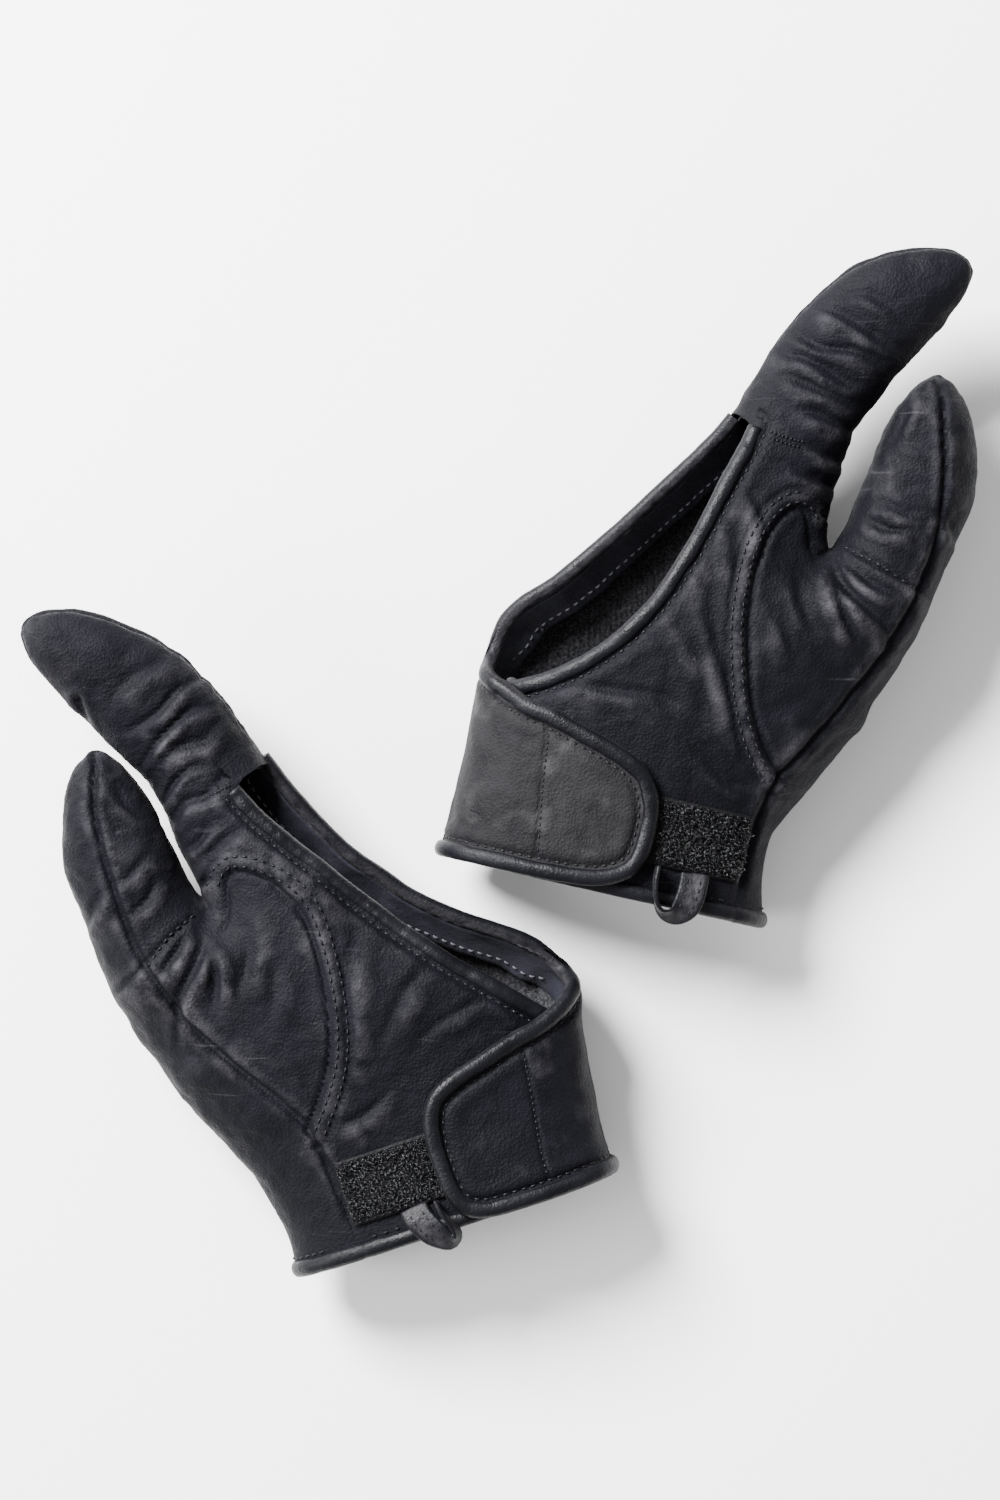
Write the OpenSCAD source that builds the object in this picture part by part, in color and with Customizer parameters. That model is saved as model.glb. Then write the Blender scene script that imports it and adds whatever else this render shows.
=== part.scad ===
// A pair of leather gloves that cover only the thumb and the index finger. Each lies on its back, palm up.
// Each glove is drawn in its own frame first: +X to the thumb side, +Y to the fingertips, +Z out of the palm,
// with the middle of the wrist hem at the origin. place() then mirrors the left one and lays both out.

/* [Leather] */
// Thickness of the outer leather
leather = 1.2; // [0.9:0.1:1.3]
// Thickness of the lining fabric
lining = 0.6; // [0.4:0.1:0.7]
// Thickness of the leather wrapped over a bound edge
wrap = 0.9; // [0.6:0.1:1.0]
// How far a binding reaches in over the leather
binding_reach = 3.6; // [3:0.2:4.4]
// Diameter of the sewing thread
thread = 0.7; // [0.5:0.1:0.8]

/* [Wrist closure] */
// Thickness of the looped tape on the palm
loop_tape = 1.2; // [0.8:0.1:1.3]
// Thickness of the hooked tape under the tab
hook_tape = 1.0; // [0.8:0.1:1.1]
// Width of the pull loop's strap
strap = 6; // [5:0.5:7]

/* [Layout] */
// Turn of the right glove on the table
right_turn = -12.7; // [-20:0.1:-5]
// Turn of the left glove on the table
left_turn = 18.5; // [10:0.1:25]

/* [Hidden] */
around = 16;       // corners of a body ring
squareness = 2.25; // exponent of a section's outline: 2 is an ellipse
gap = 0.1;         // between two sewn panels
clear = 0.35;      // between pieces on different bodies
layer = leather + gap;
tab_top = loop_tape + hook_tape + leather + 0.5; // outer face of the tab above the palm leather
right_at = [31.2, -38.1];
left_at = [-14.4, -141.3];
index_flex = 30; // degrees that the index finger bends
thumb_flex = 15; // degrees that the thumb bends

SIDES = ["right", "left"];
PIECES = [
    "palm_panel", "back_panel", "thumb_gusset", "thumb_front", "thumb_back", "index_front", "index_back",
    "palm_lining", "back_lining", "index_lining", "thumb_lining", "edge_facing",
    "palm_edge_binding", "back_edge_binding", "palm_hem_binding", "back_hem_binding",
    "tab_panel", "tab_binding", "hook_patch", "loop_patch", "pull_loop",
    "thumb_seam_thread", "thumb_cross_thread", "palm_edge_thread", "back_edge_thread",
    "tab_thread", "hem_thread", "patch_thread"
];

// ---- Shapes of the two gloves ------------------------------------------------------------------------
// A section is [x, y of its little-finger side, x, y of its thumb side, height of its centre, half height].
// The hand carries the ball of the thumb; the thumb's own sections start inside it.
RIGHT_HAND = [
    [-52, 0, 51, 0, 22, 22.4], [-51, 12, 48.5, 12, 22, 23], [-50.5, 28, 48.5, 28, 22, 23],
    [-51, 45, 55, 43, 22.5, 24], [-51.5, 60, 63, 58, 23.5, 25], [-47, 77, 69.5, 75, 24.5, 25.5],
    [-35, 90, 73, 89, 25.5, 25], [-26.5, 101, 65, 100, 26, 24], [-19, 111, 50.5, 110, 27, 22.5],
    [-11.5, 122, 44, 121, 28.5, 20.5], [-0.5, 138, 43, 137, 31, 17.5], [6.5, 150, 44, 147, 32.5, 15],
    [10, 161, 45, 155, 34, 13.5], [14.5, 174, 49.5, 165.5, 35.5, 13], [24, 192, 55.5, 178, 38, 12.5],
    [35, 205, 63, 190.5, 40, 11.5], [49, 213, 68, 201, 41.5, 9.5], [60, 215, 69.2, 209, 42.5, 5.5],
    [64, 214.5, 68.5, 211.5, 42.5, 3]
];
RIGHT_THUMB = [
    [36, 84, 64, 78, 24, 13], [34.5, 98, 76.5, 94, 26.5, 21.5], [40, 108, 79.5, 107, 28, 20.5],
    [47, 121, 82, 122.5, 30, 17.5], [51, 139, 85.5, 141, 32.5, 15.5], [53, 153, 83.5, 155, 34, 14],
    [56, 165, 79, 166.5, 35.5, 11.5], [61, 173, 72.5, 174, 36.5, 7], [64.5, 176, 68.5, 176, 36.5, 3]
];
LEFT_HAND = [
    [-52.5, 0, 51.5, 0, 22, 22.4], [-52, 12, 50.5, 12, 22, 23], [-54, 28, 53, 28, 22, 23],
    [-56.5, 45, 59, 43, 22.5, 24], [-59.5, 61, 66, 58, 23.5, 25], [-50, 75, 71.5, 74, 24.5, 25.5],
    [-32, 89, 74, 88, 25.5, 25], [-20, 100, 64, 99, 26, 24], [-12.5, 110, 49, 108, 27, 22.5],
    [-4.5, 121, 41, 119, 28.5, 20.5], [4, 139, 41.5, 137, 31, 17.5], [9.5, 154, 42.5, 149, 32.5, 15],
    [13, 165, 45.5, 157.5, 34, 13.5], [17, 177, 51, 167, 35.5, 13], [25, 193, 57.5, 180, 38, 12.5],
    [36, 206, 63, 193, 40, 11.5], [49, 215.5, 67.5, 204.5, 41.5, 9.5], [60, 218.8, 68.3, 213, 42.5, 5.5],
    [64, 218.5, 67.5, 215.5, 42.5, 3]
];
LEFT_THUMB = [
    [31, 84, 64, 78, 24, 13], [28, 98, 76.5, 94, 26.5, 21.5], [34, 107, 78.5, 106, 28, 20.5],
    [43.5, 121, 79, 122, 31, 17.5], [48, 139, 79.5, 140, 34.5, 15.5], [50.5, 152, 76.5, 152, 37, 13.5],
    [54, 163, 72, 163, 39, 11], [57.5, 170, 66.5, 170, 40, 6.5], [59.5, 172.7, 63, 172.5, 40.5, 3]
];
// Bound edge of the palm, from the wrist tab to the root of the index finger.
RIGHT_PALM_EDGE = [
    [-38, 57], [-30, 61.5], [-20, 69.5], [-11, 80], [-4, 92], [1, 105], [5, 118], [8, 130], [11, 140], [13, 149]
];
LEFT_PALM_EDGE = [
    [-46, 55], [-40, 62], [-32, 71], [-23, 81.5], [-14, 93], [-5, 106], [3, 118], [10, 129], [16, 139], [20.5, 149]
];
// Seam between the front and the back leather, from the hem over the ball of the thumb to its tip.
RIGHT_SIDE_SEAM = [
    [41, -12], [41.5, 20], [42.5, 35], [45, 46], [50, 54], [58, 68], [65, 83], [70, 95], [74, 111],
    [76, 125], [75.5, 138], [73, 152], [69, 167], [66.5, 178], [66, 190]
];
LEFT_SIDE_SEAM = [
    [28, -12], [30, 15], [31, 30], [33, 42], [38, 52], [48, 68], [55, 80], [61, 95], [65, 110],
    [66, 125], [65.5, 140], [64, 155], [61.5, 163], [59, 173], [58, 190]
];
// Curved seam round the ball of the thumb, from the side seam to the crotch.
RIGHT_BALL_SEAM = [
    [45, 46], [38, 54], [32, 65], [28, 77], [25, 90], [24, 104], [25, 115], [28, 123], [32.5, 127.5],
    [36, 126], [38.5, 120], [41, 115], [46, 112]
];
LEFT_BALL_SEAM = [
    [33, 42], [25, 52], [19, 62], [15, 75], [13, 90], [13, 104], [16, 113], [22, 120], [29, 124.5],
    [33, 122], [35, 116], [38, 110], [44, 108]
];
// Straight seam across the thumb.
RIGHT_CROSS = [[44, 121], [80, 109]];
LEFT_CROSS = [[40, 118.5], [78, 99]];
// Line across the thumb where it bends, close to the seam.
RIGHT_BEND = [[44, 119], [82, 112]];
LEFT_BEND = [[40, 115], [80, 107]];
// Root of the index finger, where it bends.
RIGHT_ROOT = [[4, 150.5], [46, 147]];
LEFT_ROOT = [[5, 155], [46, 148.5]];
// Outline of the wrist tab, from its fold by the hem, round its free end, to its fold by the palm.
RIGHT_TAB = [
    [-22, 0.5], [-12, 1], [-3, 2], [4, 4.5], [9, 8.5], [11, 15], [11.2, 24], [10, 31], [6, 37.5], [0, 41.5],
    [-9, 44.5], [-19, 47], [-29, 50]
];
LEFT_TAB = [
    [-33, -0.5], [-22, -0.2], [-12, 0.5], [-5.5, 3], [-2, 8], [-1, 16], [-1, 26], [-2.5, 34], [-6, 40],
    [-13, 43.5], [-23, 46], [-31, 48], [-40, 50]
];
// Looped tape on the palm: left, right, bottom and top edge.
RIGHT_TAPE = [-18, 40, 11, 32];
LEFT_TAPE = [-29, 29, 9.5, 30];
// Pull loop: the line that its strap follows.
RIGHT_LOOP = [[16.5, 8.5], [16.2, 3], [18, -1.5], [22, -3.5], [26, -2.5], [28.6, 2], [29, 8.5]];
LEFT_LOOP = [[3, 7.5], [2.6, 2], [3.4, -3], [6.5, -6.2], [10, -4.5], [12, 1], [12.8, 7.5]];

function pick(side, right, left) = side == "right" ? right : left;
function hand(side) = pick(side, RIGHT_HAND, LEFT_HAND);
function thumb(side) = pick(side, RIGHT_THUMB, LEFT_THUMB);
function palm_edge(side) = pick(side, RIGHT_PALM_EDGE, LEFT_PALM_EDGE);
function side_seam(side) = pick(side, RIGHT_SIDE_SEAM, LEFT_SIDE_SEAM);
function ball_seam(side) = pick(side, RIGHT_BALL_SEAM, LEFT_BALL_SEAM);
function cross_seam(side) = pick(side, RIGHT_CROSS, LEFT_CROSS);
function thumb_bend(side) = pick(side, RIGHT_BEND, LEFT_BEND);
function finger_root(side) = pick(side, RIGHT_ROOT, LEFT_ROOT);
function tab_edge(side) = pick(side, RIGHT_TAB, LEFT_TAB);
function tape(side) = pick(side, RIGHT_TAPE, LEFT_TAPE);
function loop_line(side) = pick(side, RIGHT_LOOP, LEFT_LOOP);

// ---- Lines and lists ---------------------------------------------------------------------------------
function last(list) = list[len(list) - 1];
function flip(list) = [for (i = [len(list) - 1:-1:0]) list[i]];
function unit(v) = v / norm(v);
function mix(a, b, t) = a * (1 - t) + b * t;
function clamp(v, low, high) = min(high, max(low, v));
function ease(t) = let (c = clamp(t, 0, 1)) c * c * (3 - 2 * c);
// A line cut into pieces no longer than step.
function fine(line, step) = [
    for (i = [0:len(line) - 2])
        let (n = ceil(norm(line[i + 1] - line[i]) / step))
            for (k = [0:n - 1]) mix(line[i], line[i + 1], k / n),
    last(line)
];
// A line in the plane, moved sideways to its left.
function aside(line, by) = [
    for (i = [0:len(line) - 1])
        let (t = unit(line[min(i + 1, len(line) - 1)] - line[max(i - 1, 0)]))
            line[i] + by * [-t[1], t[0]]
];

// ---- The body of the glove as rings of points --------------------------------------------------------
function signed_power(v, e) = sign(v) * pow(abs(v), e);
// One section moved out by d: [centre, unit vector to the thumb side, half width, height, half height].
function section(row, d) =
    let (
        little = [row[0], row[1]],
        radial = [row[2], row[3]],
        half = norm(radial - little) / 2,
        e = (radial - little) / (2 * half),
        pull = d * max(0, 1 - half / 10)
    )
        [(little + radial) / 2 + pull * [-e[1], e[0]], e, max(0.4, half + d), row[4], max(0.4, row[5] + d)];
// The point and the outward normal on a section, at an angle from the thumb side over the palm.
function on_section(s, angle) =
    let (
        c = signed_power(cos(angle), 2 / squareness),
        h = signed_power(sin(angle), 2 / squareness),
        nc = signed_power(c, squareness - 1) / s[2],
        nh = signed_power(h, squareness - 1) / s[4],
        n = unit([s[1][0] * nc, s[1][1] * nc, nh]),
        p = s[0] + s[2] * c * s[1]
    )
        [[p[0], p[1], s[3] + s[4] * h], n];
// The glove rests flat on the table, and its hem a wrap's thickness higher, so that its binding rests too.
function rest(y, d) = wrap * (1 - ease((y - 3) / 10)) - d;
function ring(row, d) = let (s = section(row, d)) [
    for (k = [0:around - 1])
        let (p = on_section(s, 360 * k / around)[0]) [p[0], p[1], max(p[2], rest(p[1], d))]
];
function mix_rows(rows, f) =
    let (i = clamp(floor(f), 0, len(rows) - 2))
        mix(rows[i], rows[i + 1], f - i);
// The row number, with its fraction, whose section passes over a point in the plane.
function ahead(row, p) =
    let (a = [row[2] - row[0], row[3] - row[1]], b = p - [row[0], row[1]]) (a[0] * b[1] - a[1] * b[0]) / norm(a);
function row_over(rows, p, i = 0) =
    i >= len(rows) - 2 || ahead(rows[i + 1], p) < 0
        ? let (a = ahead(rows[i], p), b = ahead(rows[i + 1], p)) i + a / (a - b)
        : row_over(rows, p, i + 1);
// The point and normal on the palm side of one body over p, or a point at the floor if p is outside it.
function over_body(rows, p, d) =
    let (
        f = max(0, row_over(rows, p)),
        s = section(mix_rows(rows, min(f, len(rows) - 1)), d),
        u = (p - s[0]) * s[1] / s[2]
    )
        f > len(rows) - 1 || abs(u) >= 1 ? [[p[0], p[1], 0], [0, 0, 1]]
        : let (q = on_section(s, acos(signed_power(u, squareness / 2)))) [[p[0], p[1], q[0][2]], q[1]];
function over_palm(side, p, d) =
    let (a = over_body(hand(side), p, d), b = over_body(thumb(side), p, d))
        a[0][2] > b[0][2] || row_over(thumb(side), p) < 0 ? a : b;
// The hand body at a height y along the glove and an angle round it.
function round_wrist(side, y, angle, d) =
    let (f = row_over(hand(side), [0, y])) on_section(section(mix_rows(hand(side), f), d), angle);

// ---- Solids ------------------------------------------------------------------------------------------
// A closed tube through rings that all have the same number of points.
module tube(rings) {
    n = len(rings[0]);
    m = len(rings);
    points = [for (r = rings) each r];
    faces = [
        [for (k = [n - 1:-1:0]) k],
        for (i = [0:m - 2]) for (k = [0:n - 1])
            let (a = i * n + k, b = i * n + (k + 1) % n)
                each [[a, b + n, a + n], [a, b, b + n]],
        [for (k = [0:n - 1]) (m - 1) * n + k]
    ];
    polyhedron(points, faces, convexity = 10);
}
module body(rows, d, open) {
    first = [for (p = ring(rows[0], d)) p - [0, 9, 0]];
    tube(open ? [first, each [for (r = rows) ring(r, d)]] : [for (r = rows) ring(r, d)]);
}
// The whole glove as one filled shape, its surface moved out by d.
module form(side, d, open = false) {
    body(hand(side), d, open);
    body(thumb(side), d, false);
}
module shell(side, outer, thickness) {
    difference() {
        union() form(side, outer);
        form(side, outer - thickness, true);
    }
}
// A sheet cut from the bodies has no true curves, so it is kept as one mesh.
module sheet() {
    resize([0, 0, 0]) children();
}
module column(outline, grow = 0) {
    translate([0, 0, -20]) linear_extrude(140) offset(delta = grow) polygon(outline);
}
// Above the line that parts the front leather from the back leather at the sides.
PARTING = [[-20, 22], [60, 23.5], [100, 26.5], [120, 29], [140, 32], [157, 34.5], [176, 37], [200, 40.5], [240, 43]];
module above_parting(rise = 0) {
    rotate([90, 0, 90]) translate([0, 0, -90])
        linear_extrude(180) polygon([for (p = PARTING) p + [0, rise], [240, 120], [-20, 120]]);
}
module front_zone(side, grow) {
    intersection() {
        column([each side_seam(side), [-90, 190], [-90, -12]], grow);
        above_parting(-grow);
    }
}
// The part of a body on the far side of a bend line. tilt leans the cut so that the bend can close.
module beyond(line, height, tilt, back) {
    e = unit(line[1] - line[0]);
    turn = atan2(e[1], e[0]);
    middle = (line[0] + line[1]) / 2;
    rise = 60;
    translate([middle[0], middle[1], height]) rotate([0, 0, turn]) rotate([90, 0, 90]) translate([0, 0, -70])
        linear_extrude(140) polygon([
            [back, -60], [back, 0], [back + rise * tan(tilt), rise], [160, rise], [160, -60]
        ]);
}
function mid_height(rows, line) = let (s = mix_rows(rows, row_over(rows, (line[0] + line[1]) / 2))) s[4];
function index_height(side) = mid_height(hand(side), finger_root(side));
function thumb_height(side) = mid_height(thumb(side), thumb_bend(side));
module index_zone(side) {
    intersection() {
        beyond(finger_root(side), index_height(side), index_flex + 1, clear);
        translate([0, 0, -20]) linear_extrude(140) polygon(index_side(side));
    }
}
// The index finger's side of a line between the two fingers.
function index_side(side) = pick(side,
    [[46, 112], [48, 130], [49, 152], [53, 168], [90, 200], [90, 240], [-60, 240], [-60, 112]],
    [[44, 108], [44, 130], [45.5, 152], [51, 165], [60, 176], [90, 200], [90, 240], [-60, 240], [-60, 108]]);
module thumb_side_column(side, inset) {
    difference() {
        translate([0, 90, -20]) linear_extrude(140) square([120, 120]);
        translate([0, 0, -21]) linear_extrude(142) offset(delta = inset) polygon(index_side(side));
    }
}
module thumb_zone(side) {
    intersection() {
        beyond(thumb_bend(side), thumb_height(side), thumb_flex + 1, clear);
        thumb_side_column(side, 1.6);
    }
}
// What stays on the glove's own body: all but the two fingers.
module palm_zone(side) {
    difference() {
        translate([-90, -20, -20]) cube([200, 300, 140]);
        intersection() {
            beyond(finger_root(side), index_height(side), 0, -clear);
            translate([0, 0, -21]) linear_extrude(142) polygon(index_side(side));
        }
        intersection() {
            beyond(thumb_bend(side), thumb_height(side), 0, -clear);
            thumb_side_column(side, 0);
        }
    }
}
// The ball of the thumb, between its curved seam and the side seam.
module ball_column(side, grow) {
    column([each ball_seam(side), [120, last(ball_seam(side))[1]], [120, ball_seam(side)[0][1]]], grow);
}
// Where the fingers come out: beside the palm's bound edge.
function opening_outline(side, inset) = [
    each aside(fine(palm_edge(side), 60), -inset),
    [pick(side, 9, 16), 152], [pick(side, 2, 7), 156], [-90, 156], [-90, -20], [pick(side, -36, -44), -20],
    [pick(side, -36, -44), 48]
];
module glove_opening(side, inset = 0) {
    intersection() {
        column(opening_outline(side, inset));
        above_parting(-gap);
    }
}

module palm_panel(side) {
    color("#26262c") sheet() difference() {
        intersection() {
            shell(side, 0, leather);
            front_zone(side, -gap / 2);
            palm_zone(side);
        }
        glove_opening(side);
        ball_column(side, gap / 2);
    }
}
module back_panel(side) {
    color("#222228") sheet() union() {
        intersection() {
            difference() {
                shell(side, 0, leather);
                front_zone(side, gap / 2);
            }
            palm_zone(side);
        }
        wrist_band(side);
    }
}
module thumb_gusset(side) {
    color("#2a2a30") sheet() intersection() {
        shell(side, 0, leather);
        front_zone(side, -gap / 2);
        palm_zone(side);
        ball_column(side, -gap / 2);
    }
}
module thumb_front(side) {
    color("#2a2a30") sheet() intersection() {
        shell(side, 0, leather);
        front_zone(side, -gap / 2);
        thumb_zone(side);
    }
}
module thumb_back(side) {
    color("#222228") sheet() intersection() {
        difference() {
            shell(side, 0, leather);
            front_zone(side, gap / 2);
        }
        thumb_zone(side);
    }
}
module index_front(side) {
    color("#26262c") sheet() intersection() {
        shell(side, 0, leather);
        front_zone(side, -gap / 2);
        index_zone(side);
    }
}
module index_back(side) {
    color("#222228") sheet() intersection() {
        difference() {
            shell(side, 0, leather);
            front_zone(side, gap / 2);
        }
        index_zone(side);
    }
}
module palm_lining(side) {
    color("#101012") sheet() difference() {
        intersection() {
            shell(side, -layer, lining);
            front_zone(side, -gap / 2);
            palm_zone(side);
        }
        glove_opening(side);
    }
}
module back_lining(side) {
    color("#101012") sheet() intersection() {
        difference() {
            shell(side, -layer, lining);
            front_zone(side, gap / 2);
        }
        palm_zone(side);
    }
}
module index_lining(side) {
    color("#101012") sheet() intersection() {
        shell(side, -layer, lining);
        index_zone(side);
    }
}
module thumb_lining(side) {
    color("#101012") sheet() intersection() {
        shell(side, -layer, lining);
        thumb_zone(side);
    }
}
// Strip of leather sewn inside the back along its bound edge.
module edge_facing(side) {
    color("#1c1c20") sheet() intersection() {
        difference() {
            shell(side, -layer - lining - gap, leather * 0.7);
            above_parting(gap / 2);
        }
        above_parting(-9);
        translate([-90, 64, -20]) cube([90, 84, 140]);
        palm_zone(side);
    }
}

// ---- The band round the little-finger side of the wrist, and the tab that goes on from it -------------
band_start = 186; // degrees: just under the little-finger side
band_rows = 7;
band_columns = 9;
function fold_low(side) = tab_edge(side)[0];
function fold_high(side) = last(tab_edge(side));
function fold_angle(side, y) =
    let (
        x = mix(fold_low(side)[0], fold_high(side)[0], (y - fold_low(side)[1]) / (fold_high(side) - fold_low(side))[1]),
        s = section(mix_rows(hand(side), row_over(hand(side), [0, y])), 0)
    )
        acos(signed_power((x - 0.4 - s[0][0]) / s[2], squareness / 2));
function band_top(side, w) = mix(pick(side, 60, 61), fold_high(side)[1], ease(w));
// A point on the band: w goes round the wrist to the fold, v from the hem to the upper edge.
function band_point(side, w, v, d) =
    let (y = mix(0, band_top(side, w), v), angle = mix(band_start, fold_angle(side, y), w))
        round_wrist(side, y, angle, tab_top * ease(w * 2.2 - 0.2) + d);
module wrist_band(side) {
    tube([
        for (j = [0:band_columns]) let (w = j / band_columns) concat(
            [for (i = [0:band_rows]) band_point(side, w, i / band_rows, 0)[0]],
            [for (i = [band_rows:-1:0]) band_point(side, w, i / band_rows, -leather)[0]]
        )
    ]);
}
module tab_layer(side, top, thickness) {
    intersection() {
        difference() {
            body(hand(side), top, false);
            body(hand(side), top - thickness, true);
        }
        above_parting();
    }
}
module tab_panel(side) {
    color("#303036") sheet() intersection() {
        tab_layer(side, tab_top, leather);
        column([each tab_edge(side)]);
        beyond_fold(side, clear);
    }
}
// The free side of the tab's fold.
module beyond_fold(side, back) {
    a = fold_low(side);
    b = fold_high(side);
    n = unit([(b - a)[1], -(b - a)[0]]);
    column([a - 9 * unit(b - a) + back * n, b + 9 * unit(b - a) + back * n, [60, 70], [60, -20]]);
}
module hook_patch(side) {
    color("#0c0c0e") sheet() intersection() {
        tab_layer(side, tab_top - leather - gap / 2, hook_tape);
        column([each tab_edge(side)], -4.4);
        translate([-60, tape(side)[2] - 1.5, 0]) cube([90, tape(side)[3] - tape(side)[2] + 3, 90]);
        beyond_fold(side, 3);
    }
}
module loop_patch(side) {
    t = tape(side);
    color("#0a0a0c") sheet() intersection() {
        difference() {
            body(hand(side), gap / 2 + loop_tape, false);
            body(hand(side), gap / 2, true);
        }
        translate([t[0], t[2], 24]) cube([t[1] - t[0], t[3] - t[2], 50]);
    }
}

// ---- Bindings, threads and the pull loop, swept along lines on the leather ----------------------------
// A binding wraps the edge: a U that opens towards the leather, here as [out of the edge, out of the face].
function binding_profile(sheet_depth) = [
    [-binding_reach, gap / 2], [gap / 2, gap / 2], [gap / 2, -sheet_depth - gap / 2],
    [-binding_reach, -sheet_depth - gap / 2], [-binding_reach, -sheet_depth - wrap], [0.2, -sheet_depth - wrap],
    [1.1, -sheet_depth * 0.8 - wrap * 0.6], [1.5, -sheet_depth * 0.4], [1.1, wrap * 0.6], [0.2, wrap],
    [-binding_reach, wrap]
];
function thread_profile() = [for (k = [0:5]) thread / 2 * [cos(60 * k), sin(60 * k)]];
// Rings of a profile along stations of [point, normal].
function swept(stations, profile) = [
    for (i = [0:len(stations) - 1])
        let (
            t = unit(stations[min(i + 1, len(stations) - 1)][0] - stations[max(i - 1, 0)][0]),
            e = unit(cross(stations[i][1], t)),
            n = cross(t, e)
        )
            [for (q = profile) stations[i][0] + q[0] * e + q[1] * n]
];
module sweep(stations, profile) {
    tube([for (r = swept(stations, profile)) flip(r)]);
}
function on_palm(side, line, d) = [for (p = line) over_palm(side, p, d)];
// The bound edge of the back: down the little-finger side, round the corner and along the band to the fold.
function back_edge_stations(side) = [
    for (f = [10.95, each [10:-1:5]])
        let (s = section(mix_rows(hand(side), f), 0), p = s[0] - s[2] * s[1])
            [[p[0], p[1], s[3]], [-s[1][0], -s[1][1], 0]],
    for (k = [0:7]) band_point(side, k / 7, 1, 0)
];
function tab_stations(side) = [
    for (p = fine(flip(tab_edge(side)), 9)) over_body(hand(side), p, tab_top)
];
// Round the hem, from the fold over the little-finger side and the back to the side seam.
function back_hem_stations(side) = [
    for (k = [6:-1:0]) band_point(side, k / 6, 0, 0),
    for (a = [200:14:312]) lifted(round_wrist(side, 0, a, 0)),
    for (a = [326:16:390]) round_wrist(side, 0, a, 0)
];
function lifted(s) = [[s[0][0], s[0][1], max(s[0][2], wrap)], s[0][2] < wrap ? [0, 0, -1] : s[1]];
function palm_hem_stations(side) = [
    for (x = [side_seam(side)[1][0] - 1.5:-7.2:pick(side, -32, -40)]) over_body(hand(side), [x, 0.01], 0)
];
module binding(stations, sheet_depth) {
    color("#34343a") sheet() sweep(stations, binding_profile(sheet_depth));
}
module stitching(stations) {
    color("#060608") sweep(stations, thread_profile());
}
lined = leather + gap + lining;
thread_rise = thread / 2 + 0.12;
module palm_edge_binding(side) binding(on_palm(side, fine(palm_edge(side), 9), 0), lined);
module back_edge_binding(side) binding(back_edge_stations(side), leather);
module palm_hem_binding(side) binding(palm_hem_stations(side), lined);
module back_hem_binding(side) binding(back_hem_stations(side), leather);
module tab_binding(side) binding(tab_stations(side), leather);

module thumb_seam_thread(side) {
    line = [for (i = [0:9]) ball_seam(side)[i]];
    for (row = [1.4, 4.2]) stitching(on_palm(side, fine(aside(line, row), 8), thread_rise));
}
module thumb_cross_thread(side) {
    c = cross_seam(side);
    line = [for (t = [0.16, 0.36, 0.56, 0.74]) mix(c[0], c[1], t) + [0, -2.2]];
    stitching(on_palm(side, line, thread_rise));
}
module palm_edge_thread(side) {
    stitching(on_palm(side, fine(aside(palm_edge(side), -4.6), 9), thread_rise));
}
module back_edge_thread(side) {
    stitching([for (k = [2:7]) band_edge_in(side, k / 7)]);
}
function band_edge_in(side, w) =
    let (a = band_point(side, w, 1 - 4.8 / band_top(side, w), thread_rise)) a;
module tab_thread(side) {
    inner = aside(flip(tab_edge(side)), -4.7);
    line = [for (i = [1:len(inner) - 2]) inner[i]];
    stitching([for (p = fine(line, 8)) over_body(hand(side), p, tab_top + thread_rise)]);
}
module hem_thread(side) {
    x0 = side_seam(side)[1][0] - 3;
    x1 = last(loop_line(side))[0] + 3;
    stitching([for (k = [0:3]) over_body(hand(side), [mix(x0, x1, k / 3), 4.8], thread_rise)]);
}
module patch_thread(side) {
    t = tape(side);
    for (y = [t[2] + 1.2, t[3] - 1.2])
        stitching([
            for (k = [0:6]) over_body(hand(side), [mix(t[0] + 32, t[1] - 1, k / 6), y], loop_tape + gap / 2 + thread_rise)
        ]);
}
module pull_loop(side) {
    line = fine(loop_line(side), 4);
    low = over_body(hand(side), [line[0][0], 8], 0)[0][2] + wrap + 0.5;
    color("#2c2c32") sweep([for (p = line) [[p[0], p[1], low + strap / 2], [0, 0, 1]]], [
        [-0.8, -strap / 2], [0.8, -strap / 2], [0.8, strap / 2], [-0.8, strap / 2]
    ]);
}

// ---- Layout ------------------------------------------------------------------------------------------
module place(side) {
    if (side == "right") translate([right_at[0], right_at[1], 0]) rotate([0, 0, right_turn]) children();
    else translate([left_at[0], left_at[1], 0]) rotate([0, 0, left_turn]) mirror([1, 0, 0]) children();
}
for (side = SIDES) {
    place(side) palm_panel(side);
    place(side) back_panel(side);
    place(side) thumb_gusset(side);
    place(side) thumb_front(side);
    place(side) thumb_back(side);
    place(side) index_front(side);
    place(side) index_back(side);
    place(side) palm_lining(side);
    place(side) back_lining(side);
    place(side) index_lining(side);
    place(side) thumb_lining(side);
    place(side) edge_facing(side);
    place(side) palm_edge_binding(side);
    place(side) back_edge_binding(side);
    place(side) palm_hem_binding(side);
    place(side) back_hem_binding(side);
    place(side) tab_panel(side);
    place(side) tab_binding(side);
    place(side) hook_patch(side);
    place(side) loop_patch(side);
    place(side) pull_loop(side);
    place(side) thumb_seam_thread(side);
    place(side) thumb_cross_thread(side);
    place(side) palm_edge_thread(side);
    place(side) back_edge_thread(side);
    place(side) tab_thread(side);
    place(side) hem_thread(side);
    place(side) patch_thread(side);
}
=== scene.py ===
"""A pair of leather gloves that cover only the thumb and the index finger, lying palm up on a white table.

Each glove is shaped in its own frame in millimetres: +X to the thumb side, +Y to the fingertips, +Z out of
the palm, with the middle of the wrist hem at the origin. Glove.world() lays it out in the row's frame.
"""
import math

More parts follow.
